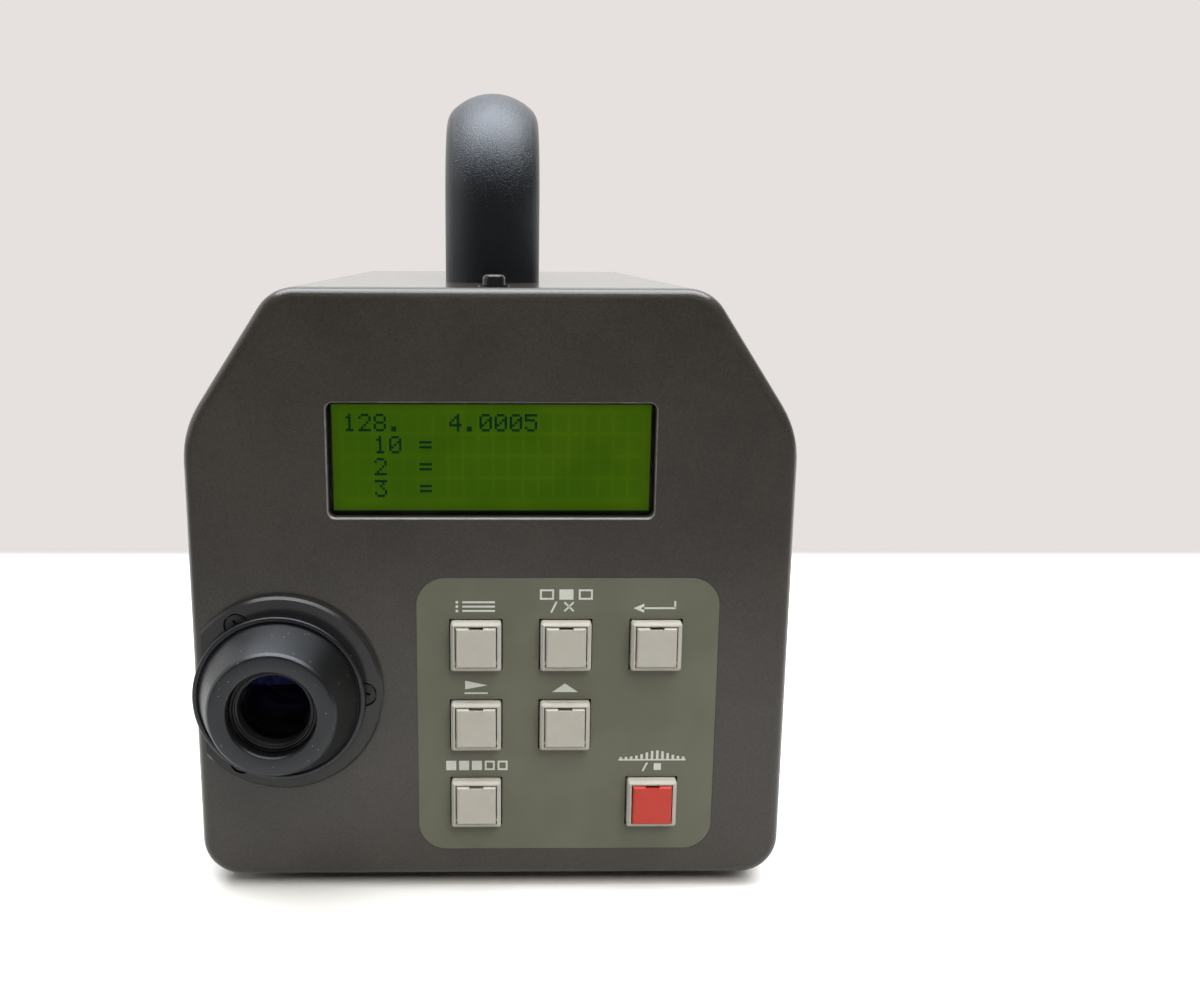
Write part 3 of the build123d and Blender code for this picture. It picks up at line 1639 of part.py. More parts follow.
# The finder's relay lens, and the spectrometer's collimating and imaging lenses
with BuildPart() as inner_lenses:
    with BuildSketch(turning(*eye_centre)):
        add(
            lens_section(
                relay_depth,
                tube_bore - running_gap,
                relay_edge,
                small_lens_land,
                relay_crown,
                relay_crown,
            )
        )
    revolve(axis=line_of(*eye_centre))
    with BuildSketch(turning(imaging_x, axis_height)):
        add(
            lens_section(
                imaging_depth - inner_lens_edge / 2,
                inner_lens_radius,
                inner_lens_edge,
                small_lens_land,
                inner_lens_crown,
                inner_lens_crown,
            )
        )
    revolve(axis=line_of(imaging_x, axis_height))
    collimator_plane = Plane(
        (collimator_x, face_y + guide_turn_depth, ground + axis_height),
        x_dir=(1, 0, 0),
        z_dir=(0, -1, 0),
    )
    with BuildSketch(collimator_plane):
        add(
            lens_section(
                -inner_lens_edge / 2,
                inner_lens_radius,
                inner_lens_edge,
                small_lens_land,
                inner_lens_crown,
                inner_lens_crown,
            )
        )
    revolve(axis=Axis(collimator_plane.origin, (1, 0, 0)))
inner_lenses.part.label = "inner_lenses"
export_step(inner_lenses.part, "parts/inner_lenses.step")

with BuildPart() as grating:
    grating_plane = Plane(
        (grating_x, face_y + guide_turn_depth, ground + axis_height),
        x_dir=(0, 0, 1),
        z_dir=(math.cos(turn), -math.sin(turn), 0),
    )
    with BuildSketch(grating_plane):
        Rectangle(grating_side, grating_side)
    extrude(amount=grating_thickness)
grating.part.label = "grating"
export_step(grating.part, "parts/grating.step")

detector_seat = spectro_end - spectro_wall
with BuildPart() as detector_board:
    with BuildSketch(across(detector_seat)):
        with Locations((spectro_middle[0], axis_height)):
            Rectangle(detector_board_width, detector_board_tall)
    extrude(amount=board_thickness)
    with BuildSketch(across(detector_seat - board_thickness)):
        with Locations((spectro_middle[0], axis_height)):
            Rectangle(detector_length, detector_tall)
    extrude(amount=detector_thickness)
detector_board.part.label = "detector_board"
export_step(detector_board.part, "parts/detector_board.step")

# Circuit boards over the spectrometer and over the saddles, on their spacers
lid_top = spectro_height + lid_thickness
main_board_height = lid_top + spacer_height
power_board_height = saddle_height + post_height
main_board_left = spectro_left - main_board_overhang
power_board_left = bench_left
power_board_right = main_board_left - board_gap
main_board_centre = (
    (main_board_left + bench_right) / 2,
    (main_board_start + main_board_end) / 2,
)
power_board_centre = (
    (power_board_left + power_board_right) / 2,
    (power_board_start + power_board_end) / 2,
)
with BuildPart() as main_board:
    with BuildSketch(level(main_board_height)):
        with Locations(main_board_centre):
            Rectangle(bench_right - main_board_left, main_board_end - main_board_start)
    extrude(amount=board_thickness)
    with BuildSketch(level(main_board_height + board_thickness)):
        with Locations(main_board_centre):
            with GridLocations(0, chip_pitch, 1, 3):
                Rectangle(chip_side, chip_side)
    extrude(amount=chip_height)
main_board.part.label = "main_board"
export_step(main_board.part, "parts/main_board.step")

with BuildPart() as power_board:
    with BuildSketch(level(power_board_height)):
        with Locations(power_board_centre):
            Rectangle(power_board_right - power_board_left, power_board_end - power_board_start)
    extrude(amount=board_thickness)
    with BuildSketch(level(power_board_height + board_thickness)):
        with Locations(power_board_centre):
            Rectangle(transformer_side, transformer_side)
    extrude(amount=transformer_height)
power_board.part.label = "power_board"
export_step(power_board.part, "parts/power_board.step")

with BuildPart() as board_spacers:
    with BuildSketch(level(lid_top)):
        with Locations(spectro_middle):
            with GridLocations(
                spectro_width - 2 * spacer_inset, spectro_length - 2 * spacer_inset, 2, 2
            ):
                Circle(spacer_radius)
    extrude(amount=spacer_height)
    with BuildSketch(level(saddle_height)):
        for start in (saddle_front, saddle_rear):
            with Locations((power_board_left + post_inset, start + saddle_thickness / 2)):
                with Locations((0, 0), (post_spacing, 0)):
                    Circle(spacer_radius)
    extrude(amount=post_height)
board_spacers.part.label = "board_spacers"
export_step(board_spacers.part, "parts/board_spacers.step")
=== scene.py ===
import json
import math

import bmesh
import bpy
from mathutils import Matrix, Vector, geometry


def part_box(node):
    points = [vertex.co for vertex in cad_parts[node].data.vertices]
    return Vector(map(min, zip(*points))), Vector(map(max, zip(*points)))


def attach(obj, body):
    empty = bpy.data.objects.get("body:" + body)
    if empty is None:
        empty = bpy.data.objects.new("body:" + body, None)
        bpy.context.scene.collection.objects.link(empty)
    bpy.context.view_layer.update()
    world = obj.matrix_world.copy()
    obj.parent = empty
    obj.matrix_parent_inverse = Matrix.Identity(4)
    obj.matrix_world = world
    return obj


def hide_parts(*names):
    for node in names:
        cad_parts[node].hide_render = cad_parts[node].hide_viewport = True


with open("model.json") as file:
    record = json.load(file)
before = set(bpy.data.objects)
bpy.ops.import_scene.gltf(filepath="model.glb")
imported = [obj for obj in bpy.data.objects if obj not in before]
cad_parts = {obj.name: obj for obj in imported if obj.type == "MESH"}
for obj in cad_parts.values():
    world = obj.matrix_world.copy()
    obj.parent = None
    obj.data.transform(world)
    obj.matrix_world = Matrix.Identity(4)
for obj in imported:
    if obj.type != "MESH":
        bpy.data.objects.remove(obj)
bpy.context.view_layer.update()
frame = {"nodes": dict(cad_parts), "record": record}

MM = 0.001
TURN_STEPS = 160


# Shader sums: each operator on a value adds its Math node
class Value:
    """A shader socket that takes part in sums."""

    def __init__(self, finish, socket):
        self.finish = finish
        self.socket = socket

    def maths(self, operation, *values):
        return self.finish.node("ShaderNodeMath", {"operation": operation}, values)

    def __add__(self, other):
        return self.maths("ADD", self, other)

    def __radd__(self, other):
        return self.maths("ADD", other, self)

    def __sub__(self, other):
        return self.maths("SUBTRACT", self, other)

    def __rsub__(self, other):
        return self.maths("SUBTRACT", other, self)

    def __mul__(self, other):
        return self.maths("MULTIPLY", self, other)

    def __rmul__(self, other):
        return self.maths("MULTIPLY", other, self)

    def __truediv__(self, other):
        return self.maths("DIVIDE", self, other)

    def __pow__(self, other):
        return self.maths("POWER", self, other)

    def __abs__(self):
        return self.maths("ABSOLUTE", self)

    def below(self, limit):
        return self.maths("LESS_THAN", self, limit)

    def above(self, limit):
        return self.maths("GREATER_THAN", self, limit)

    def part(self):
        return self.maths("FRACT", self)

    def step(self, start, end):
        """0 up to start, 1 from end, and smooth between."""
        return self.finish.node(
            "ShaderNodeMapRange",
            {"interpolation_type": "SMOOTHSTEP"},
            {"Value": self, "From Min": start, "From Max": end},
        )


class Finish:
    """One material, or the room's light, described by the nodes that it adds."""

    def __init__(self, name, tree=None):
        if tree is None:
            self.material = bpy.data.materials.new(name)
            self.material.use_nodes = True
            tree = self.material.node_tree
        tree.nodes.clear()
        self.tree = tree
        self.place = self.node("ShaderNodeTexCoord", {}, {}, "Object")

    def node(self, kind, settings, inputs, output=0):
        """Adds a node: its settings first, then the values or links of its sockets."""
        made = self.tree.nodes.new(kind)
        for name, value in settings.items():
            setattr(made, name, value)
        pairs = inputs.items() if isinstance(inputs, dict) else enumerate(inputs)
        for key, value in pairs:
            if isinstance(value, Value):
                self.tree.links.new(value.socket, made.inputs[key])
            else:
                made.inputs[key].default_value = value
        return Value(self, made.outputs[output])

    def mix(self, factor, first, second):
        """Two colours mixed by a factor."""
        sockets = {0: factor, 6: first, 7: second}
        return self.node("ShaderNodeMix", {"data_type": "RGBA"}, sockets, 2)

    def noise(self, size, detail, roughness):
        """Noise whose lumps are about this size, in metres."""
        sockets = {
            "Vector": self.place,
            "Scale": 1 / size,
            "Detail": detail,
            "Roughness": roughness,
        }
        return self.node("ShaderNodeTexNoise", {}, sockets)

    def specks(self, spacing, size):
        """Small round specks: 1 inside each, 0 between them."""
        cells = self.node(
            "ShaderNodeTexVoronoi",
            {"feature": "F1"},
            {"Vector": self.place, "Scale": 1 / spacing, "Randomness": 1.0},
        )
        return 1 - cells.step(size / spacing * 0.5, size / spacing)

    def axes(self):
        """The place's X, Y and Z as three values."""
        split = self.node("ShaderNodeSeparateXYZ", {}, [self.place])
        outputs = split.socket.node.outputs
        return [Value(self, outputs[n]) for n in range(3)]

    def bump(self, height, distance):
        """A normal raised by a height of 0 to 1 times this distance, in metres."""
        sockets = {"Height": height, "Distance": distance, "Strength": 1.0}
        return self.node("ShaderNodeBump", {}, sockets)

    def outer_fresnel(self, index):
        """How strongly the surface reflects, seen from outside; nothing from within."""
        from_within = self.node("ShaderNodeNewGeometry", {}, {}, "Backfacing")
        return self.node("ShaderNodeFresnel", {}, {"IOR": index}) * (1 - from_within)

    def seen_directly(self):
        """1 for what the camera sees itself, 0 for light that bounces."""
        return self.node("ShaderNodeLightPath", {}, {}, "Is Camera Ray")

    def shader(self, **sockets):
        """A Principled surface; each name is a socket's, with underscores for spaces."""
        named = {name.replace("_", " "): value for name, value in sockets.items()}
        return self.node("ShaderNodeBsdfPrincipled", {}, named)

    def surface(self, shader):
        """The material, once this shader is its surface."""
        output = self.tree.nodes.new("ShaderNodeOutputMaterial")
        self.tree.links.new(shader.socket, output.inputs["Surface"])
        return self.material

    def principled(self, **sockets):
        """The material, as one Principled surface."""
        return self.surface(self.shader(**sockets))


def colour(red, green, blue):
    """A shader colour from one as it is seen, each part from 0 to 255."""
    parts = [part / 255 for part in (red, green, blue)]
    return (*[p / 12.92 if p <= 0.04045 else ((p + 0.055) / 1.055) ** 2.4 for p in parts], 1.0)


# The display's character cells, and how much of its glass the dark frame hides at each side
GLASS_HIDDEN = 1.5 * MM
CELLS_ACROSS = 20
CELLS_DOWN = 4
CELL_PITCH = 3.6 * MM
ROW_PITCH = 5.34 * MM
DOTS_ACROSS = 6
DOT_WIDE = CELL_PITCH / DOTS_ACROSS
DOT_TALL = 0.605 * MM
CELLS_RIGHT = 0.37 * MM
CELLS_UP = 0.45 * MM

# Circuit boards: how far apart their tracks run
TRACK_PITCH = 2.54 * MM


# Finishes of the instrument
def grained_paint(name, light, dark):
    """Baked textured paint: fine grains, faint clouding, a few pale dust specks."""
    finish = Finish(name)
    grain = finish.noise(0.42 * MM, 3.0, 0.6)
    clouds = finish.noise(22 * MM, 3.0, 0.55)
    patch_noise = finish.noise(5 * MM, 4.0, 0.65)
    dust = finish.specks(7.5 * MM, 0.14 * MM)
    tone = finish.mix((clouds * 0.35 + grain * 0.65).step(0.30, 0.70), dark, light)
    tone = finish.mix(dust * 0.5, tone, colour(150, 147, 140))
    roughness = 0.28 + 0.08 * grain + 0.05 * patch_noise
    normal = finish.bump(grain, 0.035 * MM)
    return finish.principled(
        Base_Color=tone,
        Roughness=roughness,
        Specular_IOR_Level=0.28,
        Coat_Weight=0.72,
        Coat_Roughness=0.12,
        Normal=normal,
    )


def painted_edge_highlight():
    """A painted highlight: the pale line where light catches a bevelled edge."""
    finish = Finish("painted_edge_highlight")
    patch_noise = finish.noise(2.5 * MM, 3.0, 0.6)
    tone = finish.mix(patch_noise.step(0.35, 0.65), colour(104, 101, 96), colour(124, 121, 115))
    return finish.principled(Base_Color=tone, Roughness=0.3 + 0.1 * patch_noise, Specular_IOR_Level=0.6)


def handle_skin():
    """Black moulded skin with an even fine grain and a bluish sheen where light grazes it."""
    finish = Finish("handle_skin")
    grain = finish.noise(0.34 * MM, 2.0, 0.6)
    hand_wear = finish.noise(9 * MM, 4.0, 0.6)
    dust = finish.specks(3.2 * MM, 0.16 * MM)
    tone = finish.mix(hand_wear.step(0.45, 0.75), colour(7, 7, 8), colour(12, 12, 14))
    tone = finish.mix(grain.step(0.5, 0.75) * 0.35, tone, colour(32, 33, 37))
    tone = finish.mix(dust * 0.35, tone, colour(110, 112, 116))
    roughness = 0.26 + 0.08 * hand_wear + 0.05 * grain
    return finish.principled(
        Base_Color=tone,
        Roughness=roughness,
        Specular_IOR_Level=0.95,
        Specular_Tint=(0.82, 0.90, 1.0, 1.0),
        Coat_Weight=0.15,
        Coat_Roughness=0.36,
        Normal=finish.bump(grain, 0.18 * MM),
    )


def moulded_rubber(name, shade, sheen, shine):
    """Moulded black rubber, with a bloom on it and a little lint."""
    finish = Finish(name)
    grain = finish.noise(0.22 * MM, 2.0, 0.55)
    bloom = finish.noise(7 * MM, 3.0, 0.6)
    lint = finish.specks(1.9 * MM, 0.16 * MM)
    tone = finish.mix(bloom.step(0.35, 0.7), shade, sheen)
    tone = finish.mix(lint * 0.7, tone, colour(170, 172, 176))
    return finish.principled(
        Base_Color=tone,
        Roughness=shine + 0.08 * bloom + 0.05 * grain,
        Specular_IOR_Level=0.86,
        Specular_Tint=(0.88, 0.93, 1.0, 1.0),
        Normal=finish.bump(grain, 0.012 * MM),
    )


def black_anodise(name, shade=colour(36, 36, 37), shine=0.24):
    """Black anodised aluminium: fine turning lines under a satin skin."""
    finish = Finish(name)
    grain = finish.noise(0.12 * MM, 2.0, 0.5)
    handled = finish.noise(11 * MM, 3.0, 0.6)
    tone = finish.mix(handled.step(0.4, 0.7) * 0.5, shade, colour(48, 48, 49))
    return finish.principled(
        Base_Color=tone,
        Metallic=0.35,
        Roughness=shine + 0.10 * handled + 0.05 * grain,
        Specular_IOR_Level=0.5,
        Normal=finish.bump(grain, 0.006 * MM),
    )


def key_plastic(name, pale, shaded):
    """Key plastic: even satin colour with a trace of grime and fine moulding texture."""
    finish = Finish(name)
    texture = finish.noise(0.18 * MM, 2.0, 0.5)
    grime = finish.noise(3.2 * MM, 4.0, 0.65)
    tone = finish.mix(grime.step(0.35, 0.85), pale, shaded)
    return finish.principled(
        Base_Color=tone,
        Roughness=0.40 + 0.10 * grime,
        Specular_IOR_Level=0.45,
        Normal=finish.bump(texture, 0.008 * MM),
    )


def overlay_film():
    """The olive grey keypad film, printed from behind under a fine matt texture."""
    finish = Finish("overlay_film")
    texture = finish.noise(0.20 * MM, 2.0, 0.6)
    clouds = finish.noise(16 * MM, 2.0, 0.5)
    tone = finish.mix(clouds.step(0.35, 0.65), colour(99, 100, 85), colour(105, 106, 91))
    return finish.principled(
        Base_Color=tone,
        Roughness=0.46 + 0.08 * texture,
        Specular_IOR_Level=0.42,
        Normal=finish.bump(texture, 0.008 * MM),
    )


def legend_ink():
    """Pale screen-printed ink."""
    finish = Finish("legend_ink")
    edge = finish.noise(0.35 * MM, 2.0, 0.5)
    tone = finish.mix(edge.step(0.3, 0.7), colour(214, 217, 208), colour(200, 203, 194))
    return finish.principled(Base_Color=tone, Roughness=0.5, Normal=finish.bump(edge, 0.004 * MM))


def display_cells():
    """The lit green cells: rows and columns of character cells with paler lines between."""
    finish = Finish("display_cells")
    x, _, z = finish.axes()
    low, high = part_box("display_glass")
    middle = (low + high) / 2
    across = (x - (middle.x + CELLS_RIGHT - CELLS_ACROSS * CELL_PITCH / 2)) / CELL_PITCH
    upward = (z - (middle.z + CELLS_UP - CELLS_DOWN * ROW_PITCH / 2)) / ROW_PITCH

    def from_edge(count):
        """0 at the edges of a cell or a dot, 0.5 in its middle."""
        return 0.5 - abs(count.part() - 0.5)

    inside = across.above(0) * across.below(CELLS_ACROSS) * upward.above(0)
    inside = inside * upward.below(CELLS_DOWN)
    cell = from_edge(across).step(0.05, 0.11) * from_edge(upward).step(0.05, 0.10) * inside
    dot_lines = 1 - from_edge(across * DOTS_ACROSS).step(0.02, 0.16)
    dot_rows = 1 - from_edge(upward * (ROW_PITCH / DOT_TALL)).step(0.02, 0.16)
    clouds = finish.noise(13 * MM, 2.0, 0.5)
    dust = finish.specks(5.5 * MM, 0.12 * MM)
    lit = finish.mix(clouds.step(0.3, 0.7), colour(57, 84, 6), colour(66, 92, 8))
    leaning = ((x - middle.x) * 9 + (z - middle.z) * 16 + 0.5).step(0.0, 1.0)
    lit = finish.mix(leaning, finish.mix(0.4, lit, colour(48, 84, 10)), lit)
    # The lit colour darkens towards the glass's edges, starting where the frame hides the glass
    edge_x = ((high.x - low.x) / 2 - GLASS_HIDDEN - abs(x - middle.x)).step(-1 * MM, 3.5 * MM)
    edge_z = ((high.z - low.z) / 2 - GLASS_HIDDEN - abs(z - middle.z)).step(-1 * MM, 2.5 * MM)
    lit = finish.mix((1 - edge_x * edge_z) * 0.45, lit, colour(34, 58, 8))
    lit = finish.mix(cell * 0.38, lit, colour(40, 76, 8))
    lit = finish.mix(cell * (dot_lines + dot_rows) * 0.05, lit, colour(88, 122, 26))
    lit = finish.mix(dust * 0.5, lit, colour(120, 140, 60))
    return finish.principled(
        Base_Color=(0.0005, 0.001, 0.0, 1.0),
        Roughness=0.22,
        Specular_IOR_Level=0.01,
        Emission_Color=lit,
        Emission_Strength=1.0,
    )


def display_dots():
    """Dots that are switched on: dark blue-green, a little lit from behind."""
    finish = Finish("display_dots")
    patchy = finish.noise(1.5 * MM, 2.0, 0.5)
    glow = finish.mix(patchy, colour(0, 32, 18), colour(2, 40, 22))
    return finish.principled(
        Base_Color=(0.0005, 0.001, 0.001, 1.0),
        Roughness=0.3,
        Specular_IOR_Level=0.01,
        Emission_Color=glow,
        Emission_Strength=1.0,
    )


def clear_window():
    """Clear plastic: what lies behind shows, under a faint reflection and a little dust."""
    finish = Finish("clear_window")
    dust = finish.specks(6.5 * MM, 0.13 * MM)
    film = finish.noise(14 * MM, 3.0, 0.6)
    through = finish.node("ShaderNodeBsdfTransparent", {}, {"Color": (0.97, 0.985, 0.97, 1.0)})
    gloss_sockets = {"Color": (0.8, 0.9, 0.85, 1.0), "Roughness": 0.08}
    gloss = finish.node("ShaderNodeBsdfGlossy", {}, gloss_sockets)
    edge_glow = finish.outer_fresnel(1.45)
    amount = edge_glow**1.6 * 0.4 + film * 0.001 + dust * 0.05
    return finish.surface(finish.node("ShaderNodeMixShader", {}, [amount, through, gloss]))


def coated_glass(name, node_name, coat, amount, glow, reflection_from):
    """Lens glass: a tinted reflection, and a painted reflection of the light above, laid on as a
    coloured layer in a zone near the top.
    """
    finish = Finish(name)
    _, _, z = finish.axes()
    low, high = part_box(node_name)
    height = (z - (low.z + high.z) / 2) / ((high.z - low.z) / 2)
    haze = finish.noise(6 * MM, 2.0, 0.5)
    through = finish.node("ShaderNodeBsdfTransparent", {}, {"Color": (0.985, 0.985, 0.985, 1.0)})
    gloss = finish.node("ShaderNodeBsdfGlossy", {}, {"Color": coat, "Roughness": 0.02})
    edge_glow = finish.outer_fresnel(1.5)
    clear = finish.node("ShaderNodeMixShader", {}, [edge_glow * amount + haze * 0.004, through, gloss])
    # A painted reflection: the glow colour is laid on as the surface's own colour in a zone near the
    # top
    painted_reflection = finish.shader(Base_Color=glow, Roughness=0.3, Specular_IOR_Level=0.1)
    reflection_zone = height.step(reflection_from, reflection_from + 0.05) * (0.6 + 0.4 * haze)
    return finish.surface(finish.node("ShaderNodeMixShader", {}, [reflection_zone, clear, painted_reflection]))


def metal(name, bright, dull, roughness):
    """Bare or plated metal with a fine worked surface and faint tarnish."""
    finish = Finish(name)
    worked = finish.noise(0.10 * MM, 2.0, 0.6)
    tarnish = finish.noise(5 * MM, 4.0, 0.6)
    tone = finish.mix(tarnish.step(0.4, 0.75), bright, dull)
    return finish.principled(
        Base_Color=tone,
        Metallic=1.0,
        Roughness=roughness + 0.12 * tarnish,
        Normal=finish.bump(worked, 0.006 * MM),
    )


def circuit_laminate():
    """Green circuit board with faint copper tracks under the resist."""
    finish = Finish("circuit_laminate")
    x, _, _ = finish.axes()
    tracks = abs((x / TRACK_PITCH).part() - 0.5).below(0.16)
    rows = finish.noise(9 * MM, 2.0, 0.5).above(0.52)
    tone = finish.mix(tracks * rows * 0.5, colour(18, 82, 48), colour(34, 110, 62))
    return finish.principled(Base_Color=tone, Roughness=0.35, Specular_IOR_Level=0.5)


def moulded_black(name, roughness):
    """Black moulded plastic of the connectors."""
    finish = Finish(name)
    texture = finish.noise(0.15 * MM, 2.0, 0.5)
    marks = finish.noise(2.5 * MM, 3.0, 0.6)
    tone = finish.mix(marks.step(0.4, 0.7), colour(24, 24, 24), colour(34, 34, 34))
    return finish.principled(
        Base_Color=tone,
        Roughness=roughness + 0.08 * marks,
        Normal=finish.bump(texture, 0.006 * MM),
    )


PAINT_LIGHT = colour(63, 59, 54)
PAINT_DARK = colour(48, 45, 40)
finishes = {
    "case_paint": grained_paint("case_paint", PAINT_LIGHT, PAINT_DARK),
    "handle_skin": handle_skin(),
    "eyecup_rubber": moulded_rubber("eyecup_rubber", colour(9, 9, 9), colour(14, 14, 15), 0.32),
    "grip_rubber": moulded_rubber("grip_rubber", colour(26, 26, 27), colour(34, 34, 36), 0.5),
    "foot_rubber": moulded_rubber("foot_rubber", colour(28, 28, 28), colour(40, 40, 40), 0.6),
    "black_anodise": black_anodise("black_anodise"),
    "flange_anodise": black_anodise("flange_anodise", colour(52, 52, 52), 0.12),
    "inner_black": black_anodise("inner_black", colour(14, 14, 15)),
    "key_pale": key_plastic("key_pale", colour(184, 181, 170), colour(178, 175, 164)),
    "key_red": key_plastic("key_red", colour(196, 62, 50), colour(192, 60, 48)),
    "overlay_film": overlay_film(),
    "legend_ink": legend_ink(),
    "display_cells": display_cells(),
    "display_dots": display_dots(),
    "clear_window": clear_window(),
    # Each lens's glow is a painted reflection near its top
    "eye_glass": coated_glass(
        "eye_glass", "eye_lens", coat=(0.12, 0.14, 0.6, 1.0), amount=0.02,
        glow=(0.011, 0.014, 0.08, 1.0), reflection_from=0.52,
    ),
    "lens_glass": coated_glass(
        "lens_glass", "front_lens", coat=(0.35, 0.55, 0.75, 1.0), amount=0.55,
        glow=(0.03, 0.05, 0.10, 1.0), reflection_from=0.75,
    ),
    "blackened_steel": black_anodise("blackened_steel", colour(50, 50, 50), 0.3),
    "bare_aluminium": metal("bare_aluminium", colour(196, 198, 200), colour(170, 172, 174), 0.34),
    "nickel_plate": metal("nickel_plate", colour(206, 202, 194), colour(176, 172, 164), 0.22),
    "turned_brass": metal("turned_brass", colour(206, 172, 104), colour(170, 136, 78), 0.26),
    "mirror_silver": metal("mirror_silver", colour(236, 238, 240), colour(226, 228, 230), 0.02),
    "connector_black": moulded_black("connector_black", 0.34),
    "stud_black": moulded_black("stud_black", 0.16),
    # A painted highlight for the display opening's bevel
    "painted_edge_highlight": painted_edge_highlight(),
    "circuit_laminate": circuit_laminate(),
}

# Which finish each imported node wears
worn_by = {
    "case_paint": ["operator_panel", "lens_panel", "top_cover", "base_chassis", "connector_panel"],
    "handle_skin": ["handle"],
    "foot_rubber": ["feet"],
    "grip_rubber": ["focus_grip"],
    "eyecup_rubber": ["eyecup"],
    "flange_anodise": ["eyepiece_flange"],
    "black_anodise": [
        "eye_lens_retainer", "lens_mount", "lens_barrel", "focus_ring",
        "front_cell", "front_retainer",
    ],
    "inner_black": [
        "display_bezel", "diopter_ring", "eye_lens_cell", "finder_tube", "shutter_blade",
        "spectrometer_housing", "spectrometer_lid", "light_guide",
    ],
    "key_pale": [
        "key_housings", "menu_key", "select_key", "enter_key", "right_key", "up_key",
        "memory_key",
    ],
    "key_red": ["measure_key"],
    "overlay_film": ["keypad_overlay"],
    "display_cells": ["display_glass"],
    "clear_window": ["display_window"],
    "eye_glass": ["eye_lens", "inner_lenses"],
    "lens_glass": ["front_lens", "rear_lens"],
    "blackened_steel": ["eyepiece_screws", "case_screws", "handle_screws"],
    "bare_aluminium": ["tripod_block", "handle_plate", "optical_bench", "shutter_motor"],
    "nickel_plate": ["data_connector", "connector_studs"],
    "turned_brass": ["board_spacers"],
    "mirror_silver": ["finder_mirrors", "grating"],
    "stud_black": ["top_stud"],
    "connector_black": ["power_switch", "power_rocker", "power_inlet"],
    "circuit_laminate": [
        "display_board", "keypad_board", "detector_board", "main_board", "power_board",
    ],
}
for finish_name, node_names in worn_by.items():
    for node_name in node_names:
        node = frame["nodes"][node_name]
        for material_slot in node.material_slots:
            material_slot.material = finishes[finish_name]


# Drawing: closed plates on a surface, and turned rings
ROUNDING_STEPS = 6
PRINT_THICKNESS = 0.02 * MM
PRINT_SINK = 0.01 * MM
TO_OPERATOR = (Vector((1, 0, 0)), Vector((0, 0, 1)))
TO_RIGHT = (Vector((0, 1, 0)), Vector((0, 0, 1)))


def facing(origin, directions):
    """The place of a drawing whose x, y and z run right, up and out of the surface."""
    right, up = directions
    turn = Matrix((right, up, right.cross(up))).transposed().to_4x4()
    return Matrix.Translation(origin) @ turn


def add_ring_of_faces(shape, first, second):
    for n, vertex in enumerate(first):
        after = (n + 1) % len(first)
        shape.faces.new((vertex, first[after], second[after], second[n]))


def add_plate(shape, outline, place):
    """A thin closed plate, from an outline drawn anticlockwise."""
    back = [shape.verts.new(place @ Vector((x, y, -PRINT_SINK))) for x, y in outline]
    front = [shape.verts.new(place @ Vector((x, y, PRINT_THICKNESS))) for x, y in outline]
    shape.faces.new(front)
    shape.faces.new(back[::-1])
    add_ring_of_faces(shape, back, front)


def add_closed_strip(shape, outlines, place):
    """A closed strip through outlines of as many points; each comes with its height."""
    loops = [
        [shape.verts.new(place @ Vector((x, y, height))) for x, y in outline]
        for outline, height in outlines
    ]
    for first, second in zip(loops, loops[1:] + loops[:1]):
        add_ring_of_faces(shape, first, second)


def add_frame(shape, outer, inner, place):
    """A thin flat frame between two outlines."""
    sink, rise = -PRINT_SINK, PRINT_THICKNESS
    add_closed_strip(shape, [(outer, sink), (outer, rise), (inner, rise), (inner, sink)], place)


def box_outline(left, low, right, high):
    return [(left, low), (right, low), (right, high), (left, high)]


def stroke_outline(start, end, width):
    """A straight stroke of this width from one point to another."""
    start, end = Vector(start), Vector(end)
    side = (end - start).normalized() * width / 2
    side = Vector((side.y, -side.x))
    return [start + side, end + side, end - side, start - side]


def disc_outline(middle, radius, steps=40):
    turns = [2 * math.pi * n / steps for n in range(steps)]
    return [(middle[0] + radius * math.cos(t), middle[1] + radius * math.sin(t)) for t in turns]


def add_piece(name, mesh, finish, body, replaced=()):
    """A piece that rides on a body, with its finish."""
    piece = bpy.data.objects.new(name, mesh)
    bpy.context.scene.collection.objects.link(piece)
    mesh.materials.append(finishes[finish])
    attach(piece, body)
    if replaced:
        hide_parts(*replaced)


def finish_mesh(name, shape, smooth_angle=None):
    """Turns the drawn shape into a mesh, smooth across edges flatter than the angle."""
    bmesh.ops.recalc_face_normals(shape, faces=shape.faces)
    mesh = bpy.data.meshes.new(name)
    shape.to_mesh(mesh)
    shape.free()
    if smooth_angle is not None:
        mesh.shade_smooth()
        mesh.set_sharp_from_angle(angle=math.radians(smooth_angle))
    return mesh


def rounded_outline(corners):
    """An outline with its corners rounded; each corner is (x, y, radius)."""
    outline = []
    for n, (x, y, radius) in enumerate(corners):
        corner = Vector((x, y))
        if not radius:
            outline.append(corner)
            continue
        before = (Vector(corners[n - 1][:2]) - corner).normalized()
        after = (Vector(corners[(n + 1) % len(corners)][:2]) - corner).normalized()
        half = before.angle(after) / 2
        start = corner + before * radius / math.tan(half)
        middle = corner + (before + after).normalized() * radius / math.sin(half)
        sweep = (start - middle).angle_signed(corner + after * radius / math.tan(half) - middle)
        for step in range(ROUNDING_STEPS + 1):
            turn = Matrix.Rotation(-sweep * step / ROUNDING_STEPS, 2)
            outline.append(middle + turn @ (start - middle))
    return outline


def about_y(centre, along, across, beside):
    """A point of a ring that is turned about a line along Y."""
    return (centre.x + across, along, centre.z + beside)


def about_z(centre, along, across, beside):
    """A point of a ring that is turned about a line along Z."""
    return (centre.x + across, centre.y + beside, along)


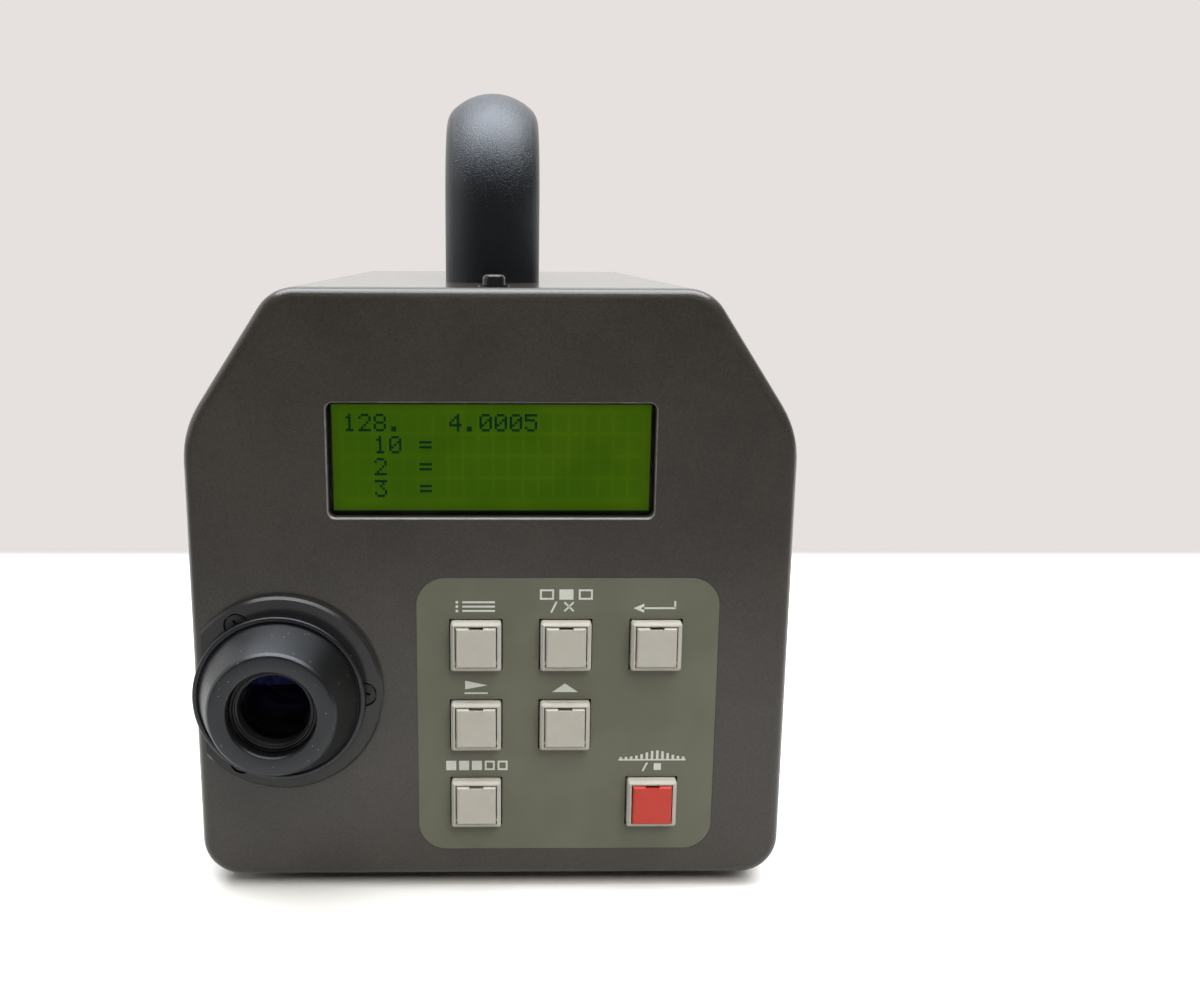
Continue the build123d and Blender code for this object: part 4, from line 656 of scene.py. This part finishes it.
def turned_mesh(name, centre, section, axis=about_y, steps=TURN_STEPS, smooth_angle=35):
    """A closed ring: a section of points along the axis and out from it, turned all round."""
    shape = bmesh.new()
    rings = []
    for n in range(steps):
        turn = 2 * math.pi * n / steps
        cosine, sine = math.cos(turn), math.sin(turn)
        points = [axis(centre, along, out * cosine, out * sine) for along, out in section]
        rings.append([shape.verts.new(point) for point in points])
    for first, second in zip(rings, rings[1:] + rings[:1]):
        add_ring_of_faces(shape, first, second)
    return finish_mesh(name, shape, smooth_angle)


# What the display shows: plain numbers and equals signs in dots, five across and seven down
GLYPHS = {
    "0": (14, 17, 19, 21, 25, 17, 14),
    "1": (4, 12, 4, 4, 4, 4, 14),
    "2": (14, 17, 1, 2, 4, 8, 31),
    "3": (31, 2, 4, 2, 1, 17, 14),
    "4": (2, 6, 10, 18, 31, 2, 2),
    "5": (31, 16, 30, 1, 1, 17, 14),
    "8": (14, 17, 17, 14, 17, 17, 14),
    ".": (0, 0, 0, 0, 0, 12, 12),
    "=": (0, 0, 31, 0, 31, 0, 0),
}
DISPLAY_ROWS = ("128.   4.0005", "  10 =", "  2  =", "  3  =")
DOT_SHARE = 0.96
GLYPH_DOTS_ACROSS = 5
GLYPH_DOTS_DOWN = 7


def lit_dots(row, column, glyph):
    """The outlines of the dots that show one glyph in its cell."""
    row_middle = (CELLS_DOWN / 2 - 0.5 - row) * ROW_PITCH
    cell_left = (column - CELLS_ACROSS / 2) * CELL_PITCH + DOT_WIDE / 2
    for line, bits in enumerate(GLYPHS[glyph]):
        low = row_middle + (GLYPH_DOTS_DOWN / 2 - line - 1) * DOT_TALL
        for dot in range(GLYPH_DOTS_ACROSS):
            if bits >> (GLYPH_DOTS_ACROSS - 1 - dot) & 1:
                left = cell_left + dot * DOT_WIDE
                right, high = left + DOT_WIDE * DOT_SHARE, low + DOT_TALL * DOT_SHARE
                yield box_outline(left, low, right, high)


def add_display_figures():
    low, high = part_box("display_glass")
    middle = (low + high) / 2
    place = facing((middle.x + CELLS_RIGHT, low.y, middle.z + CELLS_UP), TO_OPERATOR)
    shape = bmesh.new()
    for row, words in enumerate(DISPLAY_ROWS):
        for column, glyph in enumerate(words):
            if glyph != " ":
                for outline in lit_dots(row, column, glyph):
                    add_plate(shape, outline, place)
    mesh = finish_mesh("display_figures", shape)
    add_piece("display_figures", mesh, "display_dots", "housing")


# Display opening: a painted highlight, pale where its bevel catches the light, between these distances
# from the opening's edge
OPENING_WIDTH = 77.5 * MM
OPENING_HEIGHT = 27.4 * MM
OPENING_ROUND = 1.6 * MM
OPENING_BEVEL = 0.5 * MM
HIGHLIGHT_FROM = 0.08 * MM
HIGHLIGHT_TO = 0.40 * MM


def add_display_edge_highlight():
    low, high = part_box("display_window")
    panel_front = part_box("operator_panel")[0].y
    middle = (low + high) / 2
    place = facing((middle.x, panel_front, middle.z), TO_OPERATOR)

    def opening(grown):
        half_wide, half_tall = OPENING_WIDTH / 2 + grown, OPENING_HEIGHT / 2 + grown
        corners = box_outline(-half_wide, -half_tall, half_wide, half_tall)
        return rounded_outline([(x, y, OPENING_ROUND + grown) for x, y in corners])

    shape = bmesh.new()
    strip = [
        (opening(HIGHLIGHT_FROM), HIGHLIGHT_FROM - OPENING_BEVEL - PRINT_SINK),
        (opening(HIGHLIGHT_TO), HIGHLIGHT_TO - OPENING_BEVEL - PRINT_SINK),
        (opening(HIGHLIGHT_TO), HIGHLIGHT_TO - OPENING_BEVEL + PRINT_THICKNESS),
        (opening(HIGHLIGHT_FROM), HIGHLIGHT_FROM - OPENING_BEVEL + PRINT_THICKNESS),
    ]
    add_closed_strip(shape, strip, place)
    mesh = finish_mesh("display_edge_highlight", shape)
    # The strip is a painted highlight where the opening's bevel catches the light
    add_piece("display_edge_highlight", mesh, "painted_edge_highlight", "housing")


# Signs over the keys, printed on the film; their places are in millimetres from each key
LINE_WIDTH = 0.46 * MM
SPECTRUM_BARS = 13


def add_key_signs():
    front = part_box("keypad_overlay")[0].y
    shape = bmesh.new()

    def over(key):
        low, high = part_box(key)
        return facing(((low.x + high.x) / 2, front, (low.z + high.z) / 2), TO_OPERATOR)

    def plate(key, *outline):
        add_plate(shape, [(x * MM, y * MM) for x, y in outline], over(key))

    def line(key, start, end, width=LINE_WIDTH):
        outline = stroke_outline([c * MM for c in start], [c * MM for c in end], width)
        add_plate(shape, outline, over(key))

    def box(key, left, low, right, high, filled):
        left, low, right, high = [c * MM for c in (left, low, right, high)]
        outer = box_outline(left, low, right, high)
        if filled:
            add_plate(shape, outer, over(key))
            return
        inset = LINE_WIDTH
        inner = box_outline(left + inset, low + inset, right - inset, high - inset)
        add_frame(shape, outer, inner, over(key))

    # A list for the menu key
    for rise in (8.62, 9.72, 10.82):
        line("menu_key", (-4.9, rise), (-4.3, rise), 0.6 * MM)
        line("menu_key", (-3.3, rise), (4.6, rise))
    # Three boxes with the middle one chosen, then a slash and a cross, for the select key
    for number, filled in enumerate((False, True, False)):
        left = -6.35 + 4.7 * number
        box("select_key", left, 11.45, left + 3.4, 14.05, filled)
    line("select_key", (-3.6, 8.2), (-2.3, 10.95))
    line("select_key", (-0.4, 8.55), (1.85, 10.8))
    line("select_key", (-0.4, 10.8), (1.85, 8.55))
    # A return arrow for the enter key
    line("enter_key", (-3.6, 9.3), (4.75, 9.3))
    line("enter_key", (4.52, 9.3), (4.52, 11.1))
    plate("enter_key", (-5.6, 9.3), (-3.0, 8.15), (-3.0, 10.45))
    # Triangles for the two arrow keys
    plate("right_key", (-2.7, 9.2), (2.75, 10.25), (-2.7, 11.45))
    line("right_key", (-2.85, 8.2), (2.85, 8.2), 0.42 * MM)
    plate("up_key", (-3.15, 8.45), (3.2, 8.45), (0.02, 10.7))
    # A row of stores, three of them full, for the memory key
    for number in range(5):
        left = -7.5 + 3.2 * number
        box("memory_key", left, 8.4, left + 2.5, 10.9, number < 3)
    # A spectrum, then a slash and a stop square, for the measuring key
    line("measure_key", (-8.4, 11.05), (8.4, 11.05), 0.4 * MM)
    for number in range(SPECTRUM_BARS):
        bar_x = -7.8 + 1.3 * number
        bar_height = 0.55 + 1.75 * math.exp(-(((number - 6.8) / 3.1) ** 2))
        line("measure_key", (bar_x, 11.2), (bar_x, 11.2 + bar_height), 0.62 * MM)
    line("measure_key", (-2.3, 8.0), (-1.2, 10.25))
    box("measure_key", 0.5, 8.3, 2.3, 10.1, True)
    mesh = finish_mesh("key_signs", shape)
    add_piece("key_signs", mesh, "legend_ink", "housing")


# Eyepiece: the rubber cup with its rim band, groove and soft nose, and the lens's ring
CUP_INSET = 0.02 * MM
LIP_DEPTH = 1.9 * MM
LIP_WIDTH = 1.35 * MM
NOSE_RADIUS = 14.7 * MM
CUP_BORE = 10.42 * MM
EYE_RING_BORE = 8.62 * MM


def add_eyepiece_rings():
    low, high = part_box("eyecup")
    centre = (low + high) / 2
    back, front = high.y, low.y
    ring_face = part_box("diopter_ring")[0].y
    ring_outer = (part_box("diopter_ring")[1].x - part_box("diopter_ring")[0].x) / 2
    rim = (high.x - low.x) / 2
    lip_end = back - LIP_DEPTH
    groove = rim - LIP_WIDTH
    cup = [
        (back, ring_outer, 0),
        (back, rim - CUP_INSET, 0.4 * MM),
        (lip_end, rim - CUP_INSET, 0.6 * MM),
        (lip_end, groove, 0.55 * MM),
        (lip_end + 0.7 * MM, groove - 0.1 * MM, 0.12 * MM),
        (lip_end + 0.1 * MM, groove - 0.35 * MM, 0.3 * MM),
        (front + 0.9 * MM, NOSE_RADIUS + 0.6 * MM, 0.35 * MM),
        (front + 0.15 * MM, NOSE_RADIUS, 0.5 * MM),
        (front + CUP_INSET, NOSE_RADIUS - 0.7 * MM, 0),
        (front + 0.25 * MM, CUP_BORE + 0.35 * MM, 0.35 * MM),
        (front + 0.9 * MM, CUP_BORE, 0.2 * MM),
        (ring_face, CUP_BORE, 0),
        (ring_face, ring_outer, 0),
    ]
    mesh = turned_mesh("soft_eyecup", centre, rounded_outline(cup))
    add_piece("soft_eyecup", mesh, "eyecup_rubber", "diopter_ring", ["eyecup"])

    low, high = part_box("eye_lens_retainer")
    face, seat = low.y, high.y
    outer = (high.x - low.x) / 2
    retainer = [
        (seat, EYE_RING_BORE, 0),
        (seat, outer, 0),
        (face + 0.25 * MM, outer, 0.1 * MM),
        (face + 0.05 * MM, outer - 0.2 * MM, 0.1 * MM),
        (face + 0.05 * MM, outer - 0.5 * MM, 0.1 * MM),
        (face + 0.7 * MM, outer - 0.6 * MM, 0.05 * MM),
        (face + 0.9 * MM, EYE_RING_BORE, 0.2 * MM),
    ]
    mesh = turned_mesh("eye_ring", centre, rounded_outline(retainer))
    add_piece(
        "eye_ring", mesh, "black_anodise", "eye_lens_cell", ["eye_lens_retainer"]
    )


# Objective: its index line, the distance numbers, and the thread for filters
DISTANCES = ("20", "10", "5", "3", "2", "1.5", "1", "0.8", "0.7")
TYPE_SIZE = 3.08 * MM
NUMBERS_FROM_GRIP = 0.75 * MM
FOCUS_TURN = math.radians(240)
INDEX_FROM_MOUTH = 9.5 * MM
FILTER_BORE = 26.05 * MM
FILTER_PITCH = 0.7 * MM
FILTER_RIDGES = 5
RIDGE_HEIGHT = 0.3 * MM


def add_numbers(name, words, bend, body):
    """Engraved figures: each word is laid flat, then bent into place by a function."""
    shape = bmesh.new()
    for number, word in enumerate(words):
        curve = bpy.data.curves.new(name, "FONT")
        curve.body = word
        curve.size = TYPE_SIZE
        curve.align_x = "CENTER"
        curve.extrude = PRINT_THICKNESS / 2
        written = bpy.data.objects.new(name, curve)
        flat = bpy.data.meshes.new_from_object(written)
        for vertex in flat.vertices:
            vertex.co = bend(number, vertex.co)
        shape.from_mesh(flat)
        bpy.data.objects.remove(written)
        bpy.data.meshes.remove(flat)
    mesh = finish_mesh(name, shape)
    add_piece(name, mesh, "legend_ink", body)


def add_objective_marks():
    low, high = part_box("focus_ring")
    centre = (low + high) / 2
    radius = (high.x - low.x) / 2
    grip_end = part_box("focus_grip")[1].y
    baseline = grip_end + NUMBERS_FROM_GRIP

    def round_ring(number, point):
        turn = point.x / radius - FOCUS_TURN * number / (len(DISTANCES) - 1)
        out = radius + point.z
        return Vector(
            (centre.x + out * math.sin(turn), baseline + point.y, centre.z + out * math.cos(turn))
        )

    add_numbers("distance_figures", DISTANCES, round_ring, "focus_ring")

    cell_low, cell_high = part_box("front_cell")
    cell_radius = (cell_high.x - cell_low.x) / 2
    mark_place = facing(
        (centre.x, cell_high.y - INDEX_FROM_MOUTH, centre.z + cell_radius - PRINT_SINK),
        (Vector((1, 0, 0)), Vector((0, 1, 0))),
    )
    shape = bmesh.new()
    add_plate(shape, box_outline(-0.3 * MM, -6 * MM, 0.3 * MM, 2 * MM), mark_place)
    mesh = finish_mesh("distance_index", shape)
    add_piece("distance_index", mesh, "legend_ink", "front_cell")

    mouth, end = cell_high.y - 0.4 * MM, cell_high.y - 4.0 * MM
    hidden, crest = FILTER_BORE + 0.1 * MM, FILTER_BORE - RIDGE_HEIGHT
    thread = [(mouth, hidden, 0)]
    for ridge in range(FILTER_RIDGES):
        start = mouth - 0.1 * MM - FILTER_PITCH * ridge
        thread += [(start, FILTER_BORE, 0)]
        thread += [(start - 0.25 * MM, crest, 0), (start - 0.35 * MM, crest, 0)]
    thread += [(end, FILTER_BORE, 0), (end, hidden, 0)]
    mesh = turned_mesh("filter_thread_ridges", centre, rounded_outline(thread), smooth_angle=20)
    add_piece("filter_thread_ridges", mesh, "black_anodise", "front_cell")


# Power switch: a line on the half that is on, a ring on the half that is off
ROCKER_LEAN = math.radians(20)
SIGN_FROM_MIDDLE = 4 * MM


def add_switch_signs():
    low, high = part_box("power_rocker")
    middle_y = (low.y + high.y) / 2
    middle_z = (low.z + high.z) / 2
    face_x = high.x - (high.z - low.z) / 2 * math.tan(ROCKER_LEAN)
    shape = bmesh.new()
    upper = facing((face_x, middle_y, middle_z + SIGN_FROM_MIDDLE), TO_RIGHT)
    add_plate(shape, box_outline(-0.25 * MM, -1.5 * MM, 0.25 * MM, 1.5 * MM), upper)
    low_x = face_x + SIGN_FROM_MIDDLE * math.tan(ROCKER_LEAN)
    up_the_slope = Vector((-math.sin(ROCKER_LEAN), 0, math.cos(ROCKER_LEAN)))
    lower = facing(
        (low_x, middle_y, middle_z - SIGN_FROM_MIDDLE), (Vector((0, 1, 0)), up_the_slope)
    )
    add_frame(shape, disc_outline((0, 0), 1.5 * MM), disc_outline((0, 0), 1.0 * MM), lower)
    mesh = finish_mesh("switch_signs", shape)
    add_piece("switch_signs", mesh, "legend_ink", "power_rocker")


# Tripod sockets: the ridges of their threads, which start just above the seat
SOCKET_PITCHES = {"tripod_socket_small": 1.27 * MM, "tripod_socket_large": 1.59 * MM}
SOCKET_STEPS = TURN_STEPS // 2


def add_socket_threads():
    mounts = {mount["name"]: mount for mount in frame["record"]["mounts"]}
    seat = mounts["tripod_socket_small"]["pos_m"][2]
    for name, pitch in SOCKET_PITCHES.items():
        mount = mounts[name]
        centre = Vector(mount["pos_m"])
        radius = mount["dims"]["r_mm"] * MM
        depth = mount["dims"]["length_mm"] * MM
        hidden, root, crest = radius + 0.05 * MM, radius - 0.02 * MM, radius - pitch * 0.5
        section = [(seat + 0.4 * MM, hidden)]
        ridge = seat + 0.5 * MM
        while ridge + pitch < seat + depth:
            section += [(ridge, root), (ridge + pitch * 0.45, crest), (ridge + pitch * 0.55, crest)]
            ridge += pitch
        section += [(ridge, root), (ridge + 0.05 * MM, hidden)]
        mesh = turned_mesh(name + "_thread", centre, section, about_z, SOCKET_STEPS, 20)
        add_piece(name + "_thread", mesh, "bare_aluminium", "housing")


# Data connector: the black insulator in its shell, with nine holes in two rows
INSULATOR_WIDE = 15.5 * MM
INSULATOR_NARROW = 12.7 * MM
INSULATOR_TALL = 7.0 * MM
INSULATOR_ROUND = 1.4 * MM
INSULATOR_RISE = 0.05 * MM
HOLE_PITCH = 2.77 * MM
HOLE_RADIUS = 0.56 * MM
HOLE_ROWS = ((1.42 * MM, 5), (-1.42 * MM, 4))


def add_data_insulator():
    low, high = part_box("data_connector")
    middle = Vector((high.x, (low.y + high.y) / 2, (low.z + high.z) / 2))
    place = facing(middle, TO_RIGHT)
    wide, narrow, tall = INSULATOR_WIDE / 2, INSULATOR_NARROW / 2, INSULATOR_TALL / 2
    corners = [(-narrow, -tall), (narrow, -tall), (wide, tall), (-wide, tall)]
    loops = [rounded_outline([(x, y, INSULATOR_ROUND) for x, y in corners])]
    for rise, count in HOLE_ROWS:
        for n in range(count):
            across = (n - (count - 1) / 2) * HOLE_PITCH
            loops.append(disc_outline((across, rise), HOLE_RADIUS, 20)[::-1])
    flat_loops = [[Vector((x, y, 0)) for x, y in loop] for loop in loops]
    points = [point for loop in flat_loops for point in loop]
    shape = bmesh.new()
    fronts, backs = [
        [shape.verts.new(place @ (point + Vector((0, 0, height)))) for point in points]
        for height in (INSULATOR_RISE, -PRINT_SINK)
    ]
    for a, b, c in geometry.tessellate_polygon(flat_loops):
        shape.faces.new((fronts[a], fronts[b], fronts[c]))
        shape.faces.new((backs[c], backs[b], backs[a]))
    start = 0
    for loop in loops:
        end = start + len(loop)
        add_ring_of_faces(shape, backs[start:end], fronts[start:end])
        start = end
    mesh = finish_mesh("data_insulator", shape)
    add_piece("data_insulator", mesh, "connector_black", "housing")


add_display_figures()
add_display_edge_highlight()
add_key_signs()
add_eyepiece_rings()
add_objective_marks()
add_switch_signs()
add_socket_threads()
add_data_insulator()


# Camera: the photograph's viewing angle
CAMERA_PLACE = Vector((1.19, -390.56, 160.33)) * MM
CAMERA_PITCH = math.radians(11.866)
CAMERA_YAW = math.radians(0.9955)
CAMERA_ROLL = math.radians(0.268)
CAMERA_LENS = 35.017
CAMERA_SHIFT = 0.0696


def add_camera():
    ahead = Vector(
        (
            math.sin(CAMERA_YAW) * math.cos(CAMERA_PITCH),
            math.cos(CAMERA_YAW) * math.cos(CAMERA_PITCH),
            -math.sin(CAMERA_PITCH),
        )
    )
    level = Vector((math.cos(CAMERA_YAW), -math.sin(CAMERA_YAW), 0))
    upward = level.cross(ahead)
    right = level * math.cos(CAMERA_ROLL) + upward * math.sin(CAMERA_ROLL)
    up = upward * math.cos(CAMERA_ROLL) - level * math.sin(CAMERA_ROLL)
    camera = bpy.data.objects.new("camera", bpy.data.cameras.new("camera"))
    camera.data.lens = CAMERA_LENS
    camera.data.shift_x = CAMERA_SHIFT
    camera.data.clip_start = 5 * MM
    turn = Matrix((right, up, -ahead)).transposed().to_4x4()
    camera.matrix_world = Matrix.Translation(CAMERA_PLACE) @ turn
    bpy.context.scene.collection.objects.link(camera)
    bpy.context.scene.camera = camera


def add_soft_lamp(name, place, target, size, power, tint, mirrored=True):
    """A flat lamp, its longer side level, that shines at a point; mirrored, it shows in gloss."""
    light = bpy.data.lights.new(name, "AREA")
    light.shape = "RECTANGLE"
    light.size, light.size_y = size
    light.energy = power
    light.color = tint
    lamp = bpy.data.objects.new(name, light)
    lamp.visible_glossy = mirrored
    back = (Vector(place) - Vector(target)).normalized()
    right = (Vector((1, 0, 0)) - back * back.x).normalized()
    turn = Matrix((right, back.cross(right), back)).transposed().to_4x4()
    lamp.matrix_world = Matrix.Translation(place) @ turn
    bpy.context.scene.collection.objects.link(lamp)


WALL = colour(230, 225, 222)

# Floor: its reach, the colours of its paper, and the distances over which they change
FLOOR_REACH = 30.0
PAPER_SEEN = (0.93, 0.92, 0.88, 1.0)
PAPER_UNDER = (0.60, 0.59, 0.56, 1.0)
PAPER_IN_FRONT = (0.43, 0.42, 0.40, 1.0)
PAPER_FAR = (0.12, 0.12, 0.12, 1.0)
FADE_BEHIND = (0.19, 0.22)
FADE_AROUND = (0.5, 1.0)
DARKER_AWAY = (0.20, 0.52)
PALER_FROM_FRONT = (-0.14, -0.09)


def add_floor():
    """A pale sheet that fades into the wall; bounced light sees it darker in front and far away."""
    mesh = bpy.data.meshes.new("floor")
    mesh.from_pydata(
        [(x, y, 0) for x, y in box_outline(-FLOOR_REACH, -FLOOR_REACH, FLOOR_REACH, FLOOR_REACH)],
        [],
        [(0, 1, 2, 3)],
    )
    floor = bpy.data.objects.new("floor", mesh)
    bpy.context.scene.collection.objects.link(floor)
    paper = Finish("floor_paper")
    x, y, _ = paper.axes()
    away = (x * x + y * y) ** 0.5
    seen = paper.seen_directly()
    in_front = paper.mix(away.step(*DARKER_AWAY), PAPER_IN_FRONT, PAPER_FAR)
    bounced = paper.mix(y.step(*PALER_FROM_FRONT), in_front, PAPER_UNDER)
    tone = paper.mix(seen, bounced, PAPER_SEEN)
    sheet = paper.shader(Base_Color=tone, Roughness=0.8, Specular_IOR_Level=0.3)
    wall = paper.node("ShaderNodeEmission", {}, {"Color": WALL, "Strength": 1.0})
    fade = (y.step(*FADE_BEHIND) + away.step(*FADE_AROUND)) * seen
    mesh.materials.append(
        paper.surface(paper.node("ShaderNodeMixShader", {}, [fade, sheet, wall]))
    )


# Room: the light that comes from its dim and bright sides and from its ceiling
ROOM_DIM = (0.04, 0.039, 0.037, 1.0)
ROOM_BRIGHT = (0.94, 0.92, 0.895, 1.0)
ROOM_CEILING = (1.6, 1.66, 1.8, 1.0)


def add_room():
    """The light all round: bright behind and at the left, dim by the camera, brightest above."""
    world = bpy.data.worlds.new("room")
    bpy.context.scene.world = world
    world.use_nodes = True
    room = Finish("room", world.node_tree)
    room.place = room.node("ShaderNodeTexCoord", {}, {}, "Generated")
    x, y, z = room.axes()
    at_left = (0 - x).step(0.55, 0.95)
    behind = (y + at_left * 0.9).step(0.15, 0.85)
    above = (z + y * 0.35).step(0.76, 0.93)
    all_round = room.mix(above, room.mix(behind, ROOM_DIM, ROOM_BRIGHT), ROOM_CEILING)
    light = room.node("ShaderNodeBackground", {}, {"Color": all_round, "Strength": 1.0})
    wall = room.node("ShaderNodeBackground", {}, {"Color": WALL, "Strength": 1.0})
    shown = room.node("ShaderNodeMixShader", {}, [room.seen_directly(), light, wall])
    output = room.tree.nodes.new("ShaderNodeOutputWorld")
    room.tree.links.new(shown.socket, output.inputs["Surface"])


COOL_LIGHT = (0.97, 0.98, 1.0)
WARM_LIGHT = (1.0, 0.975, 0.95)


def add_studio():
    """A pale floor, a soft room, and three flat lamps; the front one doesn't show in gloss."""
    bpy.context.scene.view_settings.view_transform = "Standard"
    add_floor()
    add_room()
    add_soft_lamp("lamp_above", (0.05, 0.04, 1.5), (0, 0, 0.1), (2.2, 0.8), 32, COOL_LIGHT)
    add_soft_lamp("lamp_strip", (0.05, -0.58, 1.5), (0, 0, 0.1), (2.0, 0.16), 8, COOL_LIGHT)
    front = ("lamp_front", (0.6, -1.1, 1.35), (0, 0, 0.08), (1.6, 0.9), 23.5, WARM_LIGHT)
    add_soft_lamp(*front, mirrored=False)


add_camera()
add_studio()
